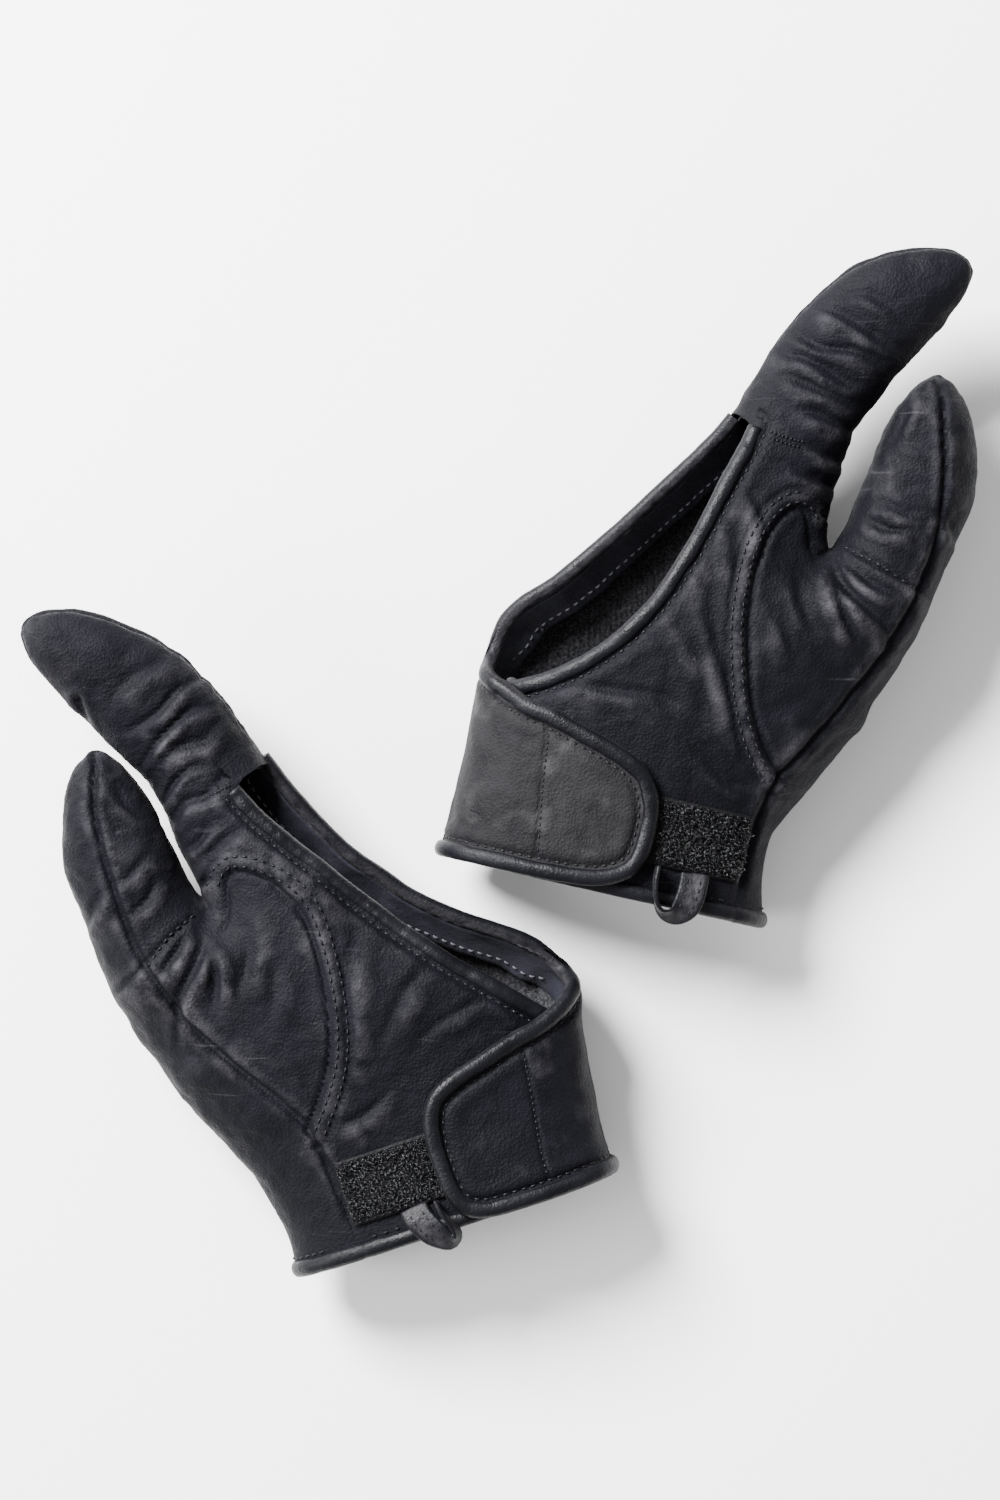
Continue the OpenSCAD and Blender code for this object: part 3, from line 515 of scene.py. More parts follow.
# ---- One glove ---------------------------------------------------------------------------------------
class Glove:
    """The outer surface of one glove, and the fields that part it into panels."""

    def __init__(self, name, given):
        self.name, self.given = name, given
        self.hand, self.thumb = Body(given["hand"]), Body(given["thumb"])
        names = ("palm_edge", "side_seam", "ball_seam", "tab", "between")
        self.lines = {key: smooth_line(given[key], 2.0) for key in names}
        self.cross = np.array(given["cross"], float)
        turn = math.radians(given["turn"])
        self.turn = np.array([[math.cos(turn), math.sin(turn)], [-math.sin(turn), math.cos(turn)]])

    def world(self, points):
        """The points laid out in the row's frame, in metres."""
        out = np.array(points, float)
        out[..., 0] *= self.given["mirror"]
        out[..., :2] = out[..., :2] @ self.turn + self.given["at"]
        return out / 1000

    def parting(self, points):
        """How far the points are above the line where the palm's leather meets the back's."""
        heights = np.array(PARTING, float)
        return points[:, 2] - np.interp(points[:, 1], heights[:, 0], heights[:, 1])

    def distance(self, points, found=(None, None)):
        """Nearly the distance to the glove's surface, negative inside. The table flattens its lower side."""
        hand = self.hand.distance(points, found[0])
        thumb = self.thumb.distance(points, found[1])
        # below the crotch the thumb grows out of the hand, and beyond it the two keep apart
        blend = 9 * (1 - ease((points[:, 1] - 106) / 17)) + 0.4
        body = soft_min(hand, thumb, blend)
        # the hem leaves room for its roll
        floor = 0.9 * (1 - ease((points[:, 1] - 3) / 10))
        return -soft_min(-body, points[:, 2] - floor, 1.2)

    def gradient(self, points, step=0.25):
        change = [self.distance(points + move) - self.distance(points - move) for move in step * np.eye(3)]
        return np.stack(change, 1) / (2 * step)

    def settle(self, points, rounds=3):
        """Move points onto the surface."""
        for _ in range(rounds):
            g = self.gradient(points)
            d = self.distance(points)
            points = points - (d / np.maximum((g * g).sum(1), 0.05))[:, None] * g
        return points

    def normals(self, points):
        return unit(self.gradient(points))

    def on_palm(self, line):
        """The points of the palm side's surface over a line in the plane, between a low and a high guess."""
        low, high = np.full(len(line), 24.0), np.full(len(line), 60.0)
        for _ in range(22):
            middle = (low + high) / 2
            inside = self.distance(np.column_stack([line, middle])) < 0
            low, high = np.where(inside, middle, low), np.where(inside, high, middle)
        return np.column_stack([line, low])

    def skin(self):
        """The whole outer surface, from the hem on."""
        low = np.array([-66.0, -6.0, -2.4])
        high = np.array([94.0, 226.0, 56.0])
        size = np.ceil((high - low) / CELL).astype(int)
        x, y, z = [low[k] + CELL * np.arange(size[k]) for k in range(3)]
        plan, _ = grid(x, y)
        found = [body.lookup(plan) for body in (self.hand, self.thumb)]
        layers = [self.distance(np.column_stack([plan, np.full(len(plan), h)]), found) for h in z]
        points, faces = surface_net(np.stack(layers, 1).reshape(size), low, CELL)
        for _ in range(2):
            points = self.settle(relax(points, faces), 2)
        return keep(points, faces, lambda p: p[:, 1])

    # The fields. Each is above 0 in the part that it is named after.
    def front(self, p):
        return np.minimum(line_distance(p, self.lines["side_seam"])[0], self.parting(p))

    def behind(self, p):
        return -self.front(p)

    def thumb_side(self, p):
        return -line_distance(p, self.lines["between"])[0]

    def beyond_cross(self, p):
        """How far the points are past the seam across the thumb."""
        e = unit(self.cross[1] - self.cross[0])
        rel = p[:, :2] - self.cross[0]
        return e[0] * rel[:, 1] - e[1] * rel[:, 0]

    def thumb_end(self, p):
        return np.minimum(self.thumb_side(p), self.beyond_cross(p))

    def past_thumb(self, p):
        """Positive beyond the line where the thumb bends."""
        start, end = np.array(self.given["bends"]["thumb"])
        return np.minimum(self.thumb_side(p), (p - start) @ unit(end - start) + 0.5)

    def past_index(self, p):
        """Positive beyond the line where the index finger bends."""
        start = self.given["bends"]["index"][0]
        return np.minimum(p[:, 1] - start[1] + 3, -self.thumb_side(p))

    def ball(self, p):
        seam = self.lines["ball_seam"]
        top = seam[-1][1] + 16
        return inside_distance(p, np.vstack([seam, [[seam[-1][0], top], [120, top], [120, seam[0][1]]]]))

    def open(self, p):
        """Positive in the finger opening."""
        edge, hidden = self.lines["palm_edge"], self.given["hidden_edge"]
        x, y = edge[-1]
        beyond = [[x - 3, y + 2.2], [x - 9, y + 4], [-90, y + 4], [-90, -20], [hidden, -20],
                  [hidden, edge[0][1] - 9]]
        return np.minimum(inside_distance(p, np.vstack([edge, beyond])), self.parting(p))


def relax(points, faces, amount=0.5):
    """Even out the points by moving each towards the middle of its neighbours."""
    total = np.zeros_like(points)
    count = np.zeros(len(points))
    for a, b in ((0, 1), (1, 2), (2, 0)):
        for near, far in ((a, b), (b, a)):
            np.add.at(total, faces[:, near], points[faces[:, far]])
            np.add.at(count, faces[:, near], 1)
    return points + amount * (total / np.maximum(count, 1)[:, None] - points)


# ---- Folds and puckers of the leather, and the paler wear and painted highlight on its ridges ---------
# A fold is (points in the plane, width, height): a soft ridge with a crease on its left.
RIGHT_FOLDS = [
    ([[20, 186], [30, 185], [42, 181], [53, 177]], 2.6, 0.9),
    ([[17, 178], [28, 174], [40, 175], [50, 172]], 2.2, 1.0),
    ([[15, 170], [26, 169], [38, 165], [47, 166]], 2.4, 1.0), ([[16, 163], [30, 161], [46, 158]], 2.6, 0.8),
    ([[24, 155], [34, 153], [46, 151]], 2.4, 0.9), ([[28, 190], [40, 192], [52, 186]], 2.6, 0.6),
    ([[30, 145], [38, 142], [45, 141]], 2.2, 1.1), ([[26, 137], [36, 134], [44, 133]], 2.4, 1.1),
    ([[38, 126], [43, 124]], 1.6, 0.9),
    ([[43, 112], [50, 104], [60, 98], [67, 94]], 2.6, 1.3), ([[44, 108], [50, 98], [57, 89]], 2.4, 1.3),
    ([[33, 105], [37, 96], [45, 87]], 3.2, 0.8), ([[48, 113], [58, 107], [68, 105]], 2.2, 1.0),
    ([[30, 98], [33, 88], [40, 78]], 3.4, 0.5), ([[52, 127], [60, 124], [70, 126]], 2.2, 0.8),
    ([[54, 133], [64, 130], [72, 132]], 2.4, 0.6), ([[58, 150], [61, 160], [62, 170]], 2.2, 0.5),
    ([[6, 98], [12, 82], [22, 62], [30, 44]], 3.6, 0.8), ([[0, 88], [10, 70], [14, 54]], 4.0, 0.5),
    ([[-30, 56], [-12, 57], [4, 58], [18, 54]], 2.6, 0.6), ([[10, 120], [13, 108], [16, 96]], 3.0, 0.5),
    ([[18, 45], [28, 38], [38, 37]], 2.4, 0.7), ([[14, 128], [20, 120], [22, 108]], 2.4, 0.6),
    ([[62, 100], [66, 92], [70, 88]], 2.4, 0.6), ([[74, 134], [79, 128], [82, 124]], 2.4, 0.9),
]
LEFT_FOLDS = [
    ([[22, 194], [30, 189], [39, 187], [48, 181]], 3.2, 0.55),
    ([[16, 181], [25, 181], [36, 175], [50, 172]], 2.2, 0.9),
    ([[19, 172], [26, 173], [37, 168], [47, 160]], 1.9, 1.0),
    ([[14, 169], [24, 162], [35, 162], [46, 154]], 3.0, 0.8),
    ([[27, 156], [34, 156], [44, 148]], 1.8, 0.9), ([[20, 152], [29, 146], [36, 146], [43, 140]], 2.6, 1.0),
    ([[30, 139], [36, 134], [42, 133]], 2.0, 1.0), ([[20, 134], [28, 131], [38, 127]], 2.8, 0.7),
    ([[36, 124], [41, 121]], 1.6, 0.9),
    ([[41, 108], [46, 100], [54, 92], [58, 86]], 2.6, 1.2), ([[40, 105], [42, 94], [46, 84]], 2.6, 1.2),
    ([[27, 104], [31, 94], [38, 84]], 3.2, 0.8), ([[46, 110], [54, 103], [61, 98]], 2.2, 1.0),
    ([[22, 96], [25, 84], [32, 72]], 3.4, 0.5), ([[50, 128], [56, 122], [64, 119]], 2.2, 0.9),
    ([[50, 136], [58, 131], [65, 129]], 2.4, 0.7), ([[53, 146], [57, 154], [58, 163]], 2.2, 0.5),
    ([[-6, 96], [2, 82], [8, 66], [12, 48]], 3.6, 0.7), ([[-24, 76], [-10, 68], [2, 54]], 3.6, 0.6),
    ([[-36, 60], [-20, 58], [-8, 54]], 2.6, 0.6), ([[6, 118], [9, 106], [8, 92]], 3.0, 0.5),
    ([[2, 44], [14, 38], [26, 37]], 2.4, 0.7), ([[14, 128], [15, 116], [10, 104]], 2.4, 0.6),
    ([[54, 92], [58, 84], [60, 76]], 2.4, 0.6), ([[66, 130], [73, 124], [77, 118]], 2.4, 0.8),
]


def fold_height(points, folds):
    """The folds' height at the points; each fold fades out at its ends."""
    total = np.zeros(len(points))
    for line, width, height in folds:
        line = smooth_line(line, 2.0)
        low, high = line.min(0) - 4 * width, line.max(0) + 4 * width
        near = ((points[:, :2] > low) & (points[:, :2] < high)).all(1)
        d, t = line_distance(points[near], line)
        fade = np.sin(math.pi * np.clip(t, 0, 1)) ** 0.9
        crease = bell(d - 1.35 * width, 0.58 * width)
        total[near] += height * fade * (0.85 * bell(d, width) - 0.8 * crease)
    return total


def seam_height(d, raised, groove, puff):
    """The leather beside a seam: d is the signed distance, and raised lifts the side where d is above 0."""
    step = raised * ease(d / 1.2 + 0.5) * (1 - ease((d - 6) / 7))
    return -groove * bell(d, 0.95) + puff * bell(np.abs(d) - 2.4, 1.7) + step


class Leather:
    """The relief of one glove's leather: how far each point of its surface stands out or in."""

    def __init__(self, glove, folds, seed):
        self.glove, self.folds, self.seed = glove, folds, seed

    def height(self, p, facing):
        """The relief at points whose surface faces up by the given amount, from -1 to 1."""
        g = self.glove
        up = ease((facing - 0.05) / 0.4)
        # slow swells, fine unevenness and the folds
        h = 0.42 * smooth_noise(p, 46, self.seed, 2) + 0.3 * smooth_noise(p, 15, self.seed + 1, 2)
        h += 0.075 * smooth_noise(p, 5, self.seed + 2, 2)
        h += 1.5 * ease((facing + 0.3) / 0.45) * fold_height(p, self.folds)
        # crinkles across the index finger
        finger = ease((p[:, 1] - 122) / 12) * (1 - ease((p[:, 1] - 186) / 18))
        crinkle = smooth_noise(p * [0.42, 1.25, 0.6], 6.5, self.seed + 3, 2)
        uneven = 0.6 + 0.4 * smooth_noise(p, 24, self.seed + 4, 1)
        h += 0.26 * finger * ease((facing + 0.5) / 0.5) * crinkle * uneven
        # the seam on the thumb's side, and the one round the ball of the thumb with the dent between its rows
        side = line_distance(p, g.lines["side_seam"])[0]
        h += up * seam_height(side, 0.0, 1.1, 0.55)
        seam, t = line_distance(p, g.lines["ball_seam"])
        lasts = up * (1 - ease((t - 0.93) / 0.07))
        h += lasts * seam_height(seam, 0.55, 0.7, 0.3)
        h += lasts * (0.4 * bell(seam - 3.4, 1.2) - 0.35 * bell(seam - 6.3, 0.9))
        # the dent of the stitches inside the palm's edge, the fingertip's seam and the one across the thumb
        edge = -line_distance(p, g.lines["palm_edge"])[0]
        h += up * (0.3 * bell(edge - BEYOND_ROW, 2.4) - 0.7 * bell(edge - EDGE_ROW, 1.0))
        tip = ease((p[:, 1] - 158) / 6) * ease(-g.thumb_side(p) / 2)
        h += tip * seam_height(g.parting(p), 0.0, 0.8, 0.35)
        cross = g.beyond_cross(p)
        on_thumb = up * ease((g.thumb_side(p) - 1) / 3) * ease((cross + 30) / 20)
        h += on_thumb * seam_height(-cross, 0.35, 0.6, 0.3)
        # the back puckers along its seam with the palm
        back = ease((0.1 - facing) / 0.5)
        ripple = np.sin(p[:, 1] * 0.42 + 2.2 * smooth_noise(p, 40, self.seed + 5, 1))
        h += back * 0.35 * ripple * ease((p[:, 1] - 60) / 40) * ease((14 - np.abs(side)) / 10)
        # flatter at the hem and where the glove touches the table
        h *= 0.25 + 0.75 * ease((p[:, 1] - 4) / 14)
        return h * ease((p[:, 2] - 1.2) / 4)

    def shape(self, points, extra=0.0):
        """The points moved out by the relief and the extra height, and their normals."""
        n = self.glove.normals(points)
        helper = np.where(np.abs(n[:, 2:3]) < 0.9, [[0, 0, 1.0]], [[0, 1.0, 0]])
        a = unit(np.cross(n, helper))
        b = np.cross(n, a)
        h = self.height(points, n[:, 2])
        step = 0.3
        slope_a = (self.height(points + step * a, n[:, 2]) - h) / step
        slope_b = (self.height(points + step * b, n[:, 2]) - h) / step
        return points + n * (h + extra)[:, None], unit(n - slope_a[:, None] * a - slope_b[:, None] * b)

    def over(self, plan, extra=0.0):
        """The palm side's leather over points in the plane, and its normals."""
        return self.shape(self.glove.on_palm(plan), extra)


# ---- Blender pieces ----------------------------------------------------------------------------------
def mesh_object(glove, name, points, faces, normals=None, wear=None):
    """A mesh laid out in the row's frame. normals and wear (the pale mark of rubbed wear and painted
    highlight) have a row for each point.
    """
    points = glove.world(points)
    faces = np.asarray(faces, np.int32)
    if glove.given["mirror"] < 0:
        faces = faces[:, ::-1]
    mesh = bpy.data.meshes.new(f"{glove.name}_{name}")
    mesh.vertices.add(len(points))
    mesh.vertices.foreach_set("co", points.ravel())
    mesh.loops.add(faces.size)
    mesh.loops.foreach_set("vertex_index", faces.ravel())
    mesh.polygons.add(len(faces))
    mesh.polygons.foreach_set("loop_start", np.arange(0, faces.size, 3, dtype=np.int32))
    mesh.update(calc_edges=True)
    mesh.polygons.foreach_set("use_smooth", np.ones(len(faces), bool))
    if wear is not None:
        attribute = mesh.attributes.new("wear", "FLOAT", "POINT")
        attribute.data.foreach_set("value", np.asarray(wear, np.float32))
    if normals is not None:
        turned = normals * [glove.given["mirror"], 1, 1]
        turned[:, :2] = turned[:, :2] @ glove.turn
        mesh.normals_split_custom_set_from_vertices(turned.tolist())
    made = bpy.data.objects.new(mesh.name, mesh)
    bpy.context.collection.objects.link(made)
    return made


class Maker:
    """One glove and all that its pieces are made from."""

    def __init__(self, name, given, folds, seed, looks):
        self.glove, self.given, self.seed, self.looks = Glove(name, given), given, seed, looks
        self.leather = Leather(self.glove, folds, seed)
        self.wrist = Wrist(self.glove, self.leather)
        self.skin = self.glove.skin()
        self.rng = np.random.default_rng(seed + 70)

    def cut(self, fields):
        """The part of the skin where all the fields are above 0."""
        points, faces = self.skin
        for field in fields:
            points, faces = keep(points, faces, field)
        return points, faces

    def add(self, name, points, faces, slot, look, nodes, normals=None, wear=None, bend=None, body="glove"):
        """A piece with its material, hiding the CAD nodes that it stands for; without a bend it moves with
        its body, and with one it is left fixed. The slot is not used.
        """
        glove = self.glove
        made = mesh_object(glove, name, points, faces, normals, wear)
        made.data.materials.append(self.looks[look])
        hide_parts(*[f"{glove.name}_{node}" for node in nodes])
        if bend:
            start, end = [tuple(glove.world(place)) for place in self.given["bends"][bend]]
            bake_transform(made)
        else:
            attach(made, f"{glove.name}_{body}")

    def add_roll(self, name, points, faces, nodes, normals=None, bend=None):
        """A rolled binding, painted paler along its top: rubbed wear and a painted highlight on its crest."""
        # how pale each point of the roll's section is painted, most at its crest: a painted highlight along
        # the crest, and rubbed wear
        top = [0.0, 0.1, 0.5, 1, 1, 0.8, 0.5, 0.2, 0, 0, 0, 0, 0, 0, 0]
        wear = np.tile(top, len(points) // len(ROLL))
        self.add(name, points, faces, "binding_leather", "binding", nodes, normals, wear, bend)

    def sew(self, name, rows, nodes, bend=None):
        """Rows of stitches. A row is a line and its normals, and a pitch and a length where they differ."""
        parts = [stitches(*row, seed=self.seed + 50 + k) for k, row in enumerate(rows)]
        self.add(name, *join(parts), "thread", "thread", nodes, bend=bend)


def stitches(line, normals, pitch=STITCH, length=2.15, radius=0.36, seed=1):
    """Separate short stitches along a line, each an arched thread whose ends go into the leather."""
    total = length_along(line)
    count = max(1, int(total[-1] // pitch))
    rng = np.random.default_rng(seed)
    start = (np.arange(count) + 0.5) * total[-1] / count + rng.normal(0, 0.08, count)
    t = np.linspace(-0.5, 0.5, 6)
    at = start[:, None] + t * length
    pick = lambda v: np.stack([np.interp(at, total, v[:, k]) for k in range(3)], -1)
    centre, up = pick(line), unit(pick(normals))
    left = np.cross(up, unit(np.gradient(centre, axis=1)))
    yaw = rng.normal(0, 0.07, count)[:, None] * t * length
    arch = 0.2 - 0.62 * np.abs(2 * t) ** 3
    centre = centre + up * arch[None, :, None] + left * yaw[..., None]
    angle = np.linspace(0, 2 * math.pi, 6, endpoint=False)[:, None]
    thick = radius * (1 - 0.45 * np.abs(2 * t) ** 4)
    ring = (np.cos(angle) * left[:, :, None] + np.sin(angle) * up[:, :, None]) * thick[:, None, None]
    rings = centre[:, :, None] + ring
    return join([tube(r[:, ::-1]) for r in rings])


# A roll's section, as points [to the left of its line, up from the leather].
ROLL = [
    [-3.8, -0.5], [-3.75, 0.5], [-3.2, 1.15], [-2.15, 1.6], [-0.95, 1.65], [0.15, 1.3], [0.95, 0.55],
    [1.2, -0.6], [1.0, -1.7], [0.4, -2.5], [-0.8, -2.9], [-2.4, -2.9], [-3.8, -2.7], [-4.3, -2.2],
    [-3.9, -1.4],
]


def binding(line, normals, seed, grow=1.0, drop=0.0):
    """Leather rolled over an edge, with the small swellings that sewing leaves in it."""
    base = np.array(ROLL) - [0, drop]
    along = np.zeros((len(line), 3))
    along[:, 0] = np.arange(len(line))
    swelling = 0.045 * smooth_noise(along, 9, seed, 2) + 0.02 * smooth_noise(along, 3.1, seed + 3, 1)
    size = grow * (1 + swelling)
    rings = np.repeat(base[None], len(line), 0)
    rings[..., 0] *= size[:, None]
    rings[..., 1] = np.where(base[:, 1] > 0, base[:, 1] * size[:, None], base[:, 1])
    return sweep(line, normals, rings)


def roll_normals(points):
    """Normals of a roll's points, by ring, that its two flat ends don't touch."""
    rings = points.reshape(-1, len(ROLL), 3)
    return point_normals(points, tube(rings, closed_ends=False)[1]).reshape(rings.shape)


class Wrist:
    """The wrist unrolled: u runs round it from the little-finger side over the palm, v from the hem up."""

    def __init__(self, glove, leather):
        self.glove, self.leather = glove, leather
        # u is measured 30 mm from the hem, along a turn and a half that holds both the tab and the back's hem
        self.degrees = np.linspace(560, 20, 1400)
        length = length_along(glove.hand.ring_point(np.full(1400, 30.0), self.degrees))
        self.u = length - np.interp(-BAND_START, -self.degrees, length)
        tab, seam = glove.lines["tab"], np.array(glove.given["tab_seam"], float)
        self.outline = np.column_stack([self.u_at(*tab.T, TAB_TOP), tab[:, 1]])
        self.low, self.high = self.outline[0], self.outline[-1]
        self.edge = spaced(self.bound_edge(), 1.0)
        self.cut_line = np.vstack([self.edge, [[-4, 0], [-4, self.band_top(0)]]])
        self.seam = np.column_stack([self.u_at(*seam.T, TAB_TOP), seam[:, 1]])
        # where the back's hem stops, at the seam on the thumb's side
        x = np.array([glove.given["side_seam"][1][0]])
        self.stop = np.interp(-360 - glove.hand.angle_at(x, x * 0)[0], -self.degrees, self.u)

    def u_at(self, x, y, out=0.0):
        return np.interp(-self.glove.hand.angle_at(x, y, out), -self.degrees, self.u)

    def fold_u(self, v):
        """The straight line between the tab's two ends, from which it folds over the palm."""
        return self.low[0] + (self.high[0] - self.low[0]) * (v - self.low[1]) / (self.high[1] - self.low[1])

    def band_top(self, w):
        return self.glove.given["band_height"] * (1 - ease(w)) + self.high[1] * ease(w)

    def bound_edge(self):
        """The bound edge in u and v: along the band's top, round the tab, and back along the hem."""
        w = np.linspace(0, 1, 30)[:-1]
        top = np.column_stack([w * self.high[0], self.band_top(w)])
        u = np.linspace(self.low[0], 0, 30)[1:]
        hem = np.column_stack([u, self.low[1] * (1 - ease(1 - u / self.low[0]))])
        return np.vstack([top, self.outline[::-1], hem])

    def place(self, uv, lift, tab):
        """Points of the band and the tab, or with tab off of the leather itself, moved out by lift."""
        u, v = uv.T
        base = self.glove.settle(self.glove.hand.ring_point(v, np.interp(u, self.u, self.degrees)), 2)
        n = self.glove.normals(base)
        h = self.leather.height(base, n[:, 2])
        if tab:
            d = inside_distance(uv, self.cut_line)
            h = h * 0.6 - 0.7 * bell(d - EDGE_ROW, 1.0) + 0.35 * bell(d - BEYOND_ROW, 2.2)
            h -= 0.6 * bell(line_distance(uv, self.seam)[0], 0.9) * ease((d - 4) / 2)
            swell = smooth_noise(np.column_stack([uv, u * 0]), 22, self.leather.seed + 9, 2)
            h += 0.3 * swell * ease((d - 5) / 6)
            h += TAB_TOP * ease(u / self.fold_u(v) * 2.2 - 0.2)
        return base + n * (h + lift)[:, None]

    def surface(self, uv, lift=0.0, tab=True):
        """The points of place and their outward normals."""
        p = self.place(uv, lift, tab)
        a = self.place(uv + [0.4, 0], lift, tab) - p
        b = self.place(uv + [0, 0.4], lift, tab) - p
        return p, unit(np.cross(a, b))


# ---- The pieces of a glove ---------------------------------------------------------------------------
def outside(field):
    """The field with its two sides swapped."""
    return lambda p: -field(p)


def build_panels(maker):
    """The leather, cut from the skin along its seams."""
    g = maker.glove
    for name, slot, look, nodes, bend, *fields in (
        ("palm_leather", "leather", "leather", ["palm_panel", "index_front"], "index",
         g.front, outside(g.open), lambda p: np.minimum(-g.ball(p), -g.thumb_end(p))),
        ("thumb_ball", "thumb_leather", "thumb_leather", ["thumb_gusset"], "thumb",
         g.front, g.ball, outside(g.thumb_end)),
        ("thumb_end", "thumb_leather", "thumb_leather", ["thumb_front"], "thumb", g.front, g.thumb_end),
        ("back_leather", "leather", "leather", ["back_panel"], None,
         g.behind, outside(g.past_index), outside(g.past_thumb)),
        ("finger_back", "leather", "leather", ["index_back"], "index", g.behind, g.past_index),
        ("thumb_rear", "thumb_leather", "leather", ["thumb_back"], "thumb", g.behind, g.past_thumb),
    ):
        p, f = maker.cut(fields)
        shaped, n = maker.leather.shape(p)
        solid, solid_faces = thicken(shaped, f, n, LEATHER)
        # the relief's height becomes the pale mark: raised ridges and folds are painted paler, as rubbed wear
        # and a painted highlight
        wear = np.concatenate([maker.leather.height(p, n[:, 2]), np.zeros(len(p)) - 1])
        maker.add(name, solid, solid_faces, slot, look, nodes, np.vstack([n, -n]), wear, bend)


def build_lining(maker):
    """The knitted lining, a little fuzzy, beneath the leather."""
    g, seed = maker.glove, maker.seed
    closed, hand = outside(g.open), [outside(g.past_index), outside(g.past_thumb)]
    for name, nodes, bend, fields in (
        ("lining_palm", ["palm_lining"], None, [closed, g.front, *hand]),
        ("lining_back", ["back_lining"], None, [closed, g.behind, *hand]),
        ("lining_index", ["index_lining"], "index", [closed, g.past_index]),
        ("lining_thumb", ["thumb_lining"], "thumb", [g.past_thumb]),
    ):
        p, f = maker.cut(fields)
        n = g.normals(p)
        fuzz = 0.18 * smooth_noise(p, 3.5, seed + 20, 2) + 0.25 * smooth_noise(p, 18, seed + 21, 1)
        solid, solid_faces = thicken(p - n * (LINING_DEPTH - fuzz)[:, None], f, n, LINING)
        maker.add(name, solid, solid_faces, "lining", "lining", nodes, bend=bend)


def build_band(maker):
    """The band round the wrist, and the tab that goes on from it."""
    wrist, step = maker.wrist, CELL * 0.8
    us = np.arange(-3.0, wrist.outline[:, 0].max() + 2, step)
    vs = np.arange(-1.0, maker.given["band_height"] + 2, step)
    uv, faces = keep(*grid(us, vs), lambda p: inside_distance(p, wrist.cut_line) - 0.2)
    p, n = wrist.surface(uv)
    p = p + n * 0.05
    solid, solid_faces = thicken(p, faces, n, LEATHER)
    # random patches that the tab's material paints paler, as rubbed wear and painted highlight
    wear = 0.8 * smooth_noise(p, 20, maker.seed + 31, 3)
    maker.add("wrist_tab", solid, solid_faces, "leather", maker.given["tab_look"], ["tab_panel"],
              np.vstack([n, -n]), np.concatenate([wear, wear * 0 - 1]), "tab")


def back_edge(glove):
    """The back's bound edge, on the line of PARTING, from the index finger's root down to the band."""
    centre, e, half, z, b = glove.hand.at(np.linspace(*EDGE_SPAN, 90))
    part = np.interp(centre[:, 1] - e[:, 1] * half, *np.array(PARTING).T)
    rise = np.arcsin(signed_power(np.clip((part - z) / b, -1, 1), SQUARENESS / 2))
    reach = half * np.cos(rise) ** (2 / SQUARENESS)
    return glove.settle(np.column_stack([centre - e * reach[:, None], part]), 2)


def build_back_rolls(maker):
    """One roll from the index finger's root, down the back's edge, round the tab and round the hem, in three
    pieces. Returns the line of the back's edge."""
    glove, wrist = maker.glove, maker.wrist
    side = back_edge(glove)
    around, around_normals = wrist.surface(spaced(wrist.edge, 1.2))
    u = np.arange(-1.2, wrist.stop, -1.2)
    hem, hem_normals = wrist.surface(np.column_stack([u, u * 0]), tab=False)
    corner = np.linspace(0, 1, 14)[1:-1, None]
    bridge = glove.settle(side[-1] * (1 - corner) + around[0] * corner, 2)
    line = np.vstack([side, bridge, around, hem])
    normals = np.vstack([glove.normals(side), glove.normals(bridge), around_normals, hem_normals])

    # the line is made smooth, most of all at the corner where the back's edge goes over into the band
    whole = spaced(np.column_stack([line, normals]), 1.1)
    corner_at = np.linalg.norm(whole[:, :3] - around[0], axis=1).argmin()
    near = np.abs(np.arange(1, len(whole) - 1) - corner_at) < 12
    for done in range(45):
        amount = np.where(near | (done < 3), 0.5, 0.0)[:, None]
        whole[1:-1] += amount * (0.5 * whole[:-2] + 0.5 * whole[2:] - whole[1:-1])
    normals = unit(whole[:, 3:])
    line = whole[:, :3] - normals * 1.3 * bell(np.arange(len(whole)) - corner_at, 9)[:, None]
    points, _ = binding(line, normals, maker.seed + 40)
    points[:, 2] = np.maximum(points[:, 2], 0.02)
    rings, ring_normals = points.reshape(-1, len(ROLL), 3), roll_normals(points)
    nearest = lambda uv: np.linalg.norm(line - wrist.surface(np.array([uv]))[0], axis=1).argmin()
    first = nearest([0.45 * wrist.high[0], wrist.band_top(0.45)])
    second = nearest([0.45 * wrist.low[0], 0.0])
    for name, part, nodes, bend in (
        ("back_edge_roll", slice(0, first + 1), ["back_edge_binding"], "index"),
        ("tab_roll", slice(first, second + 1), ["tab_binding"], "tab"),
        ("back_hem_roll", slice(second, None), ["back_hem_binding"], None),
    ):
        maker.add_roll(name, *tube(rings[part]), nodes, ring_normals[part].reshape(-1, 3), bend)
    return line[: corner_at + 3]


def palm_edge(given):
    """The palm's bound edge in the plane, from under the tab to the index finger's root."""
    first, second = np.array(given["palm_edge"][:2], float)
    return smooth_line([2.1 * first - 1.1 * second, *given["palm_edge"]], 1.0)


def build_palm_rolls(maker):
    """The roll over the palm's edge and the one over its hem."""
    given, leather = maker.given, maker.leather
    roll = binding(*leather.over(palm_edge(given)), maker.seed + 44, drop=0.3)
    maker.add_roll("palm_edge_roll", *roll, ["palm_edge_binding"], bend="index")
    x = np.arange(given["side_seam"][1][0] + 1.5, given["hidden_edge"] + 4, -1.0)
    roll = binding(*leather.over(np.column_stack([x, x * 0 + 0.05])), maker.seed + 45, grow=0.96)
    maker.add_roll("palm_hem_roll", *roll, ["palm_hem_binding"], roll_normals(roll[0]).reshape(-1, 3))


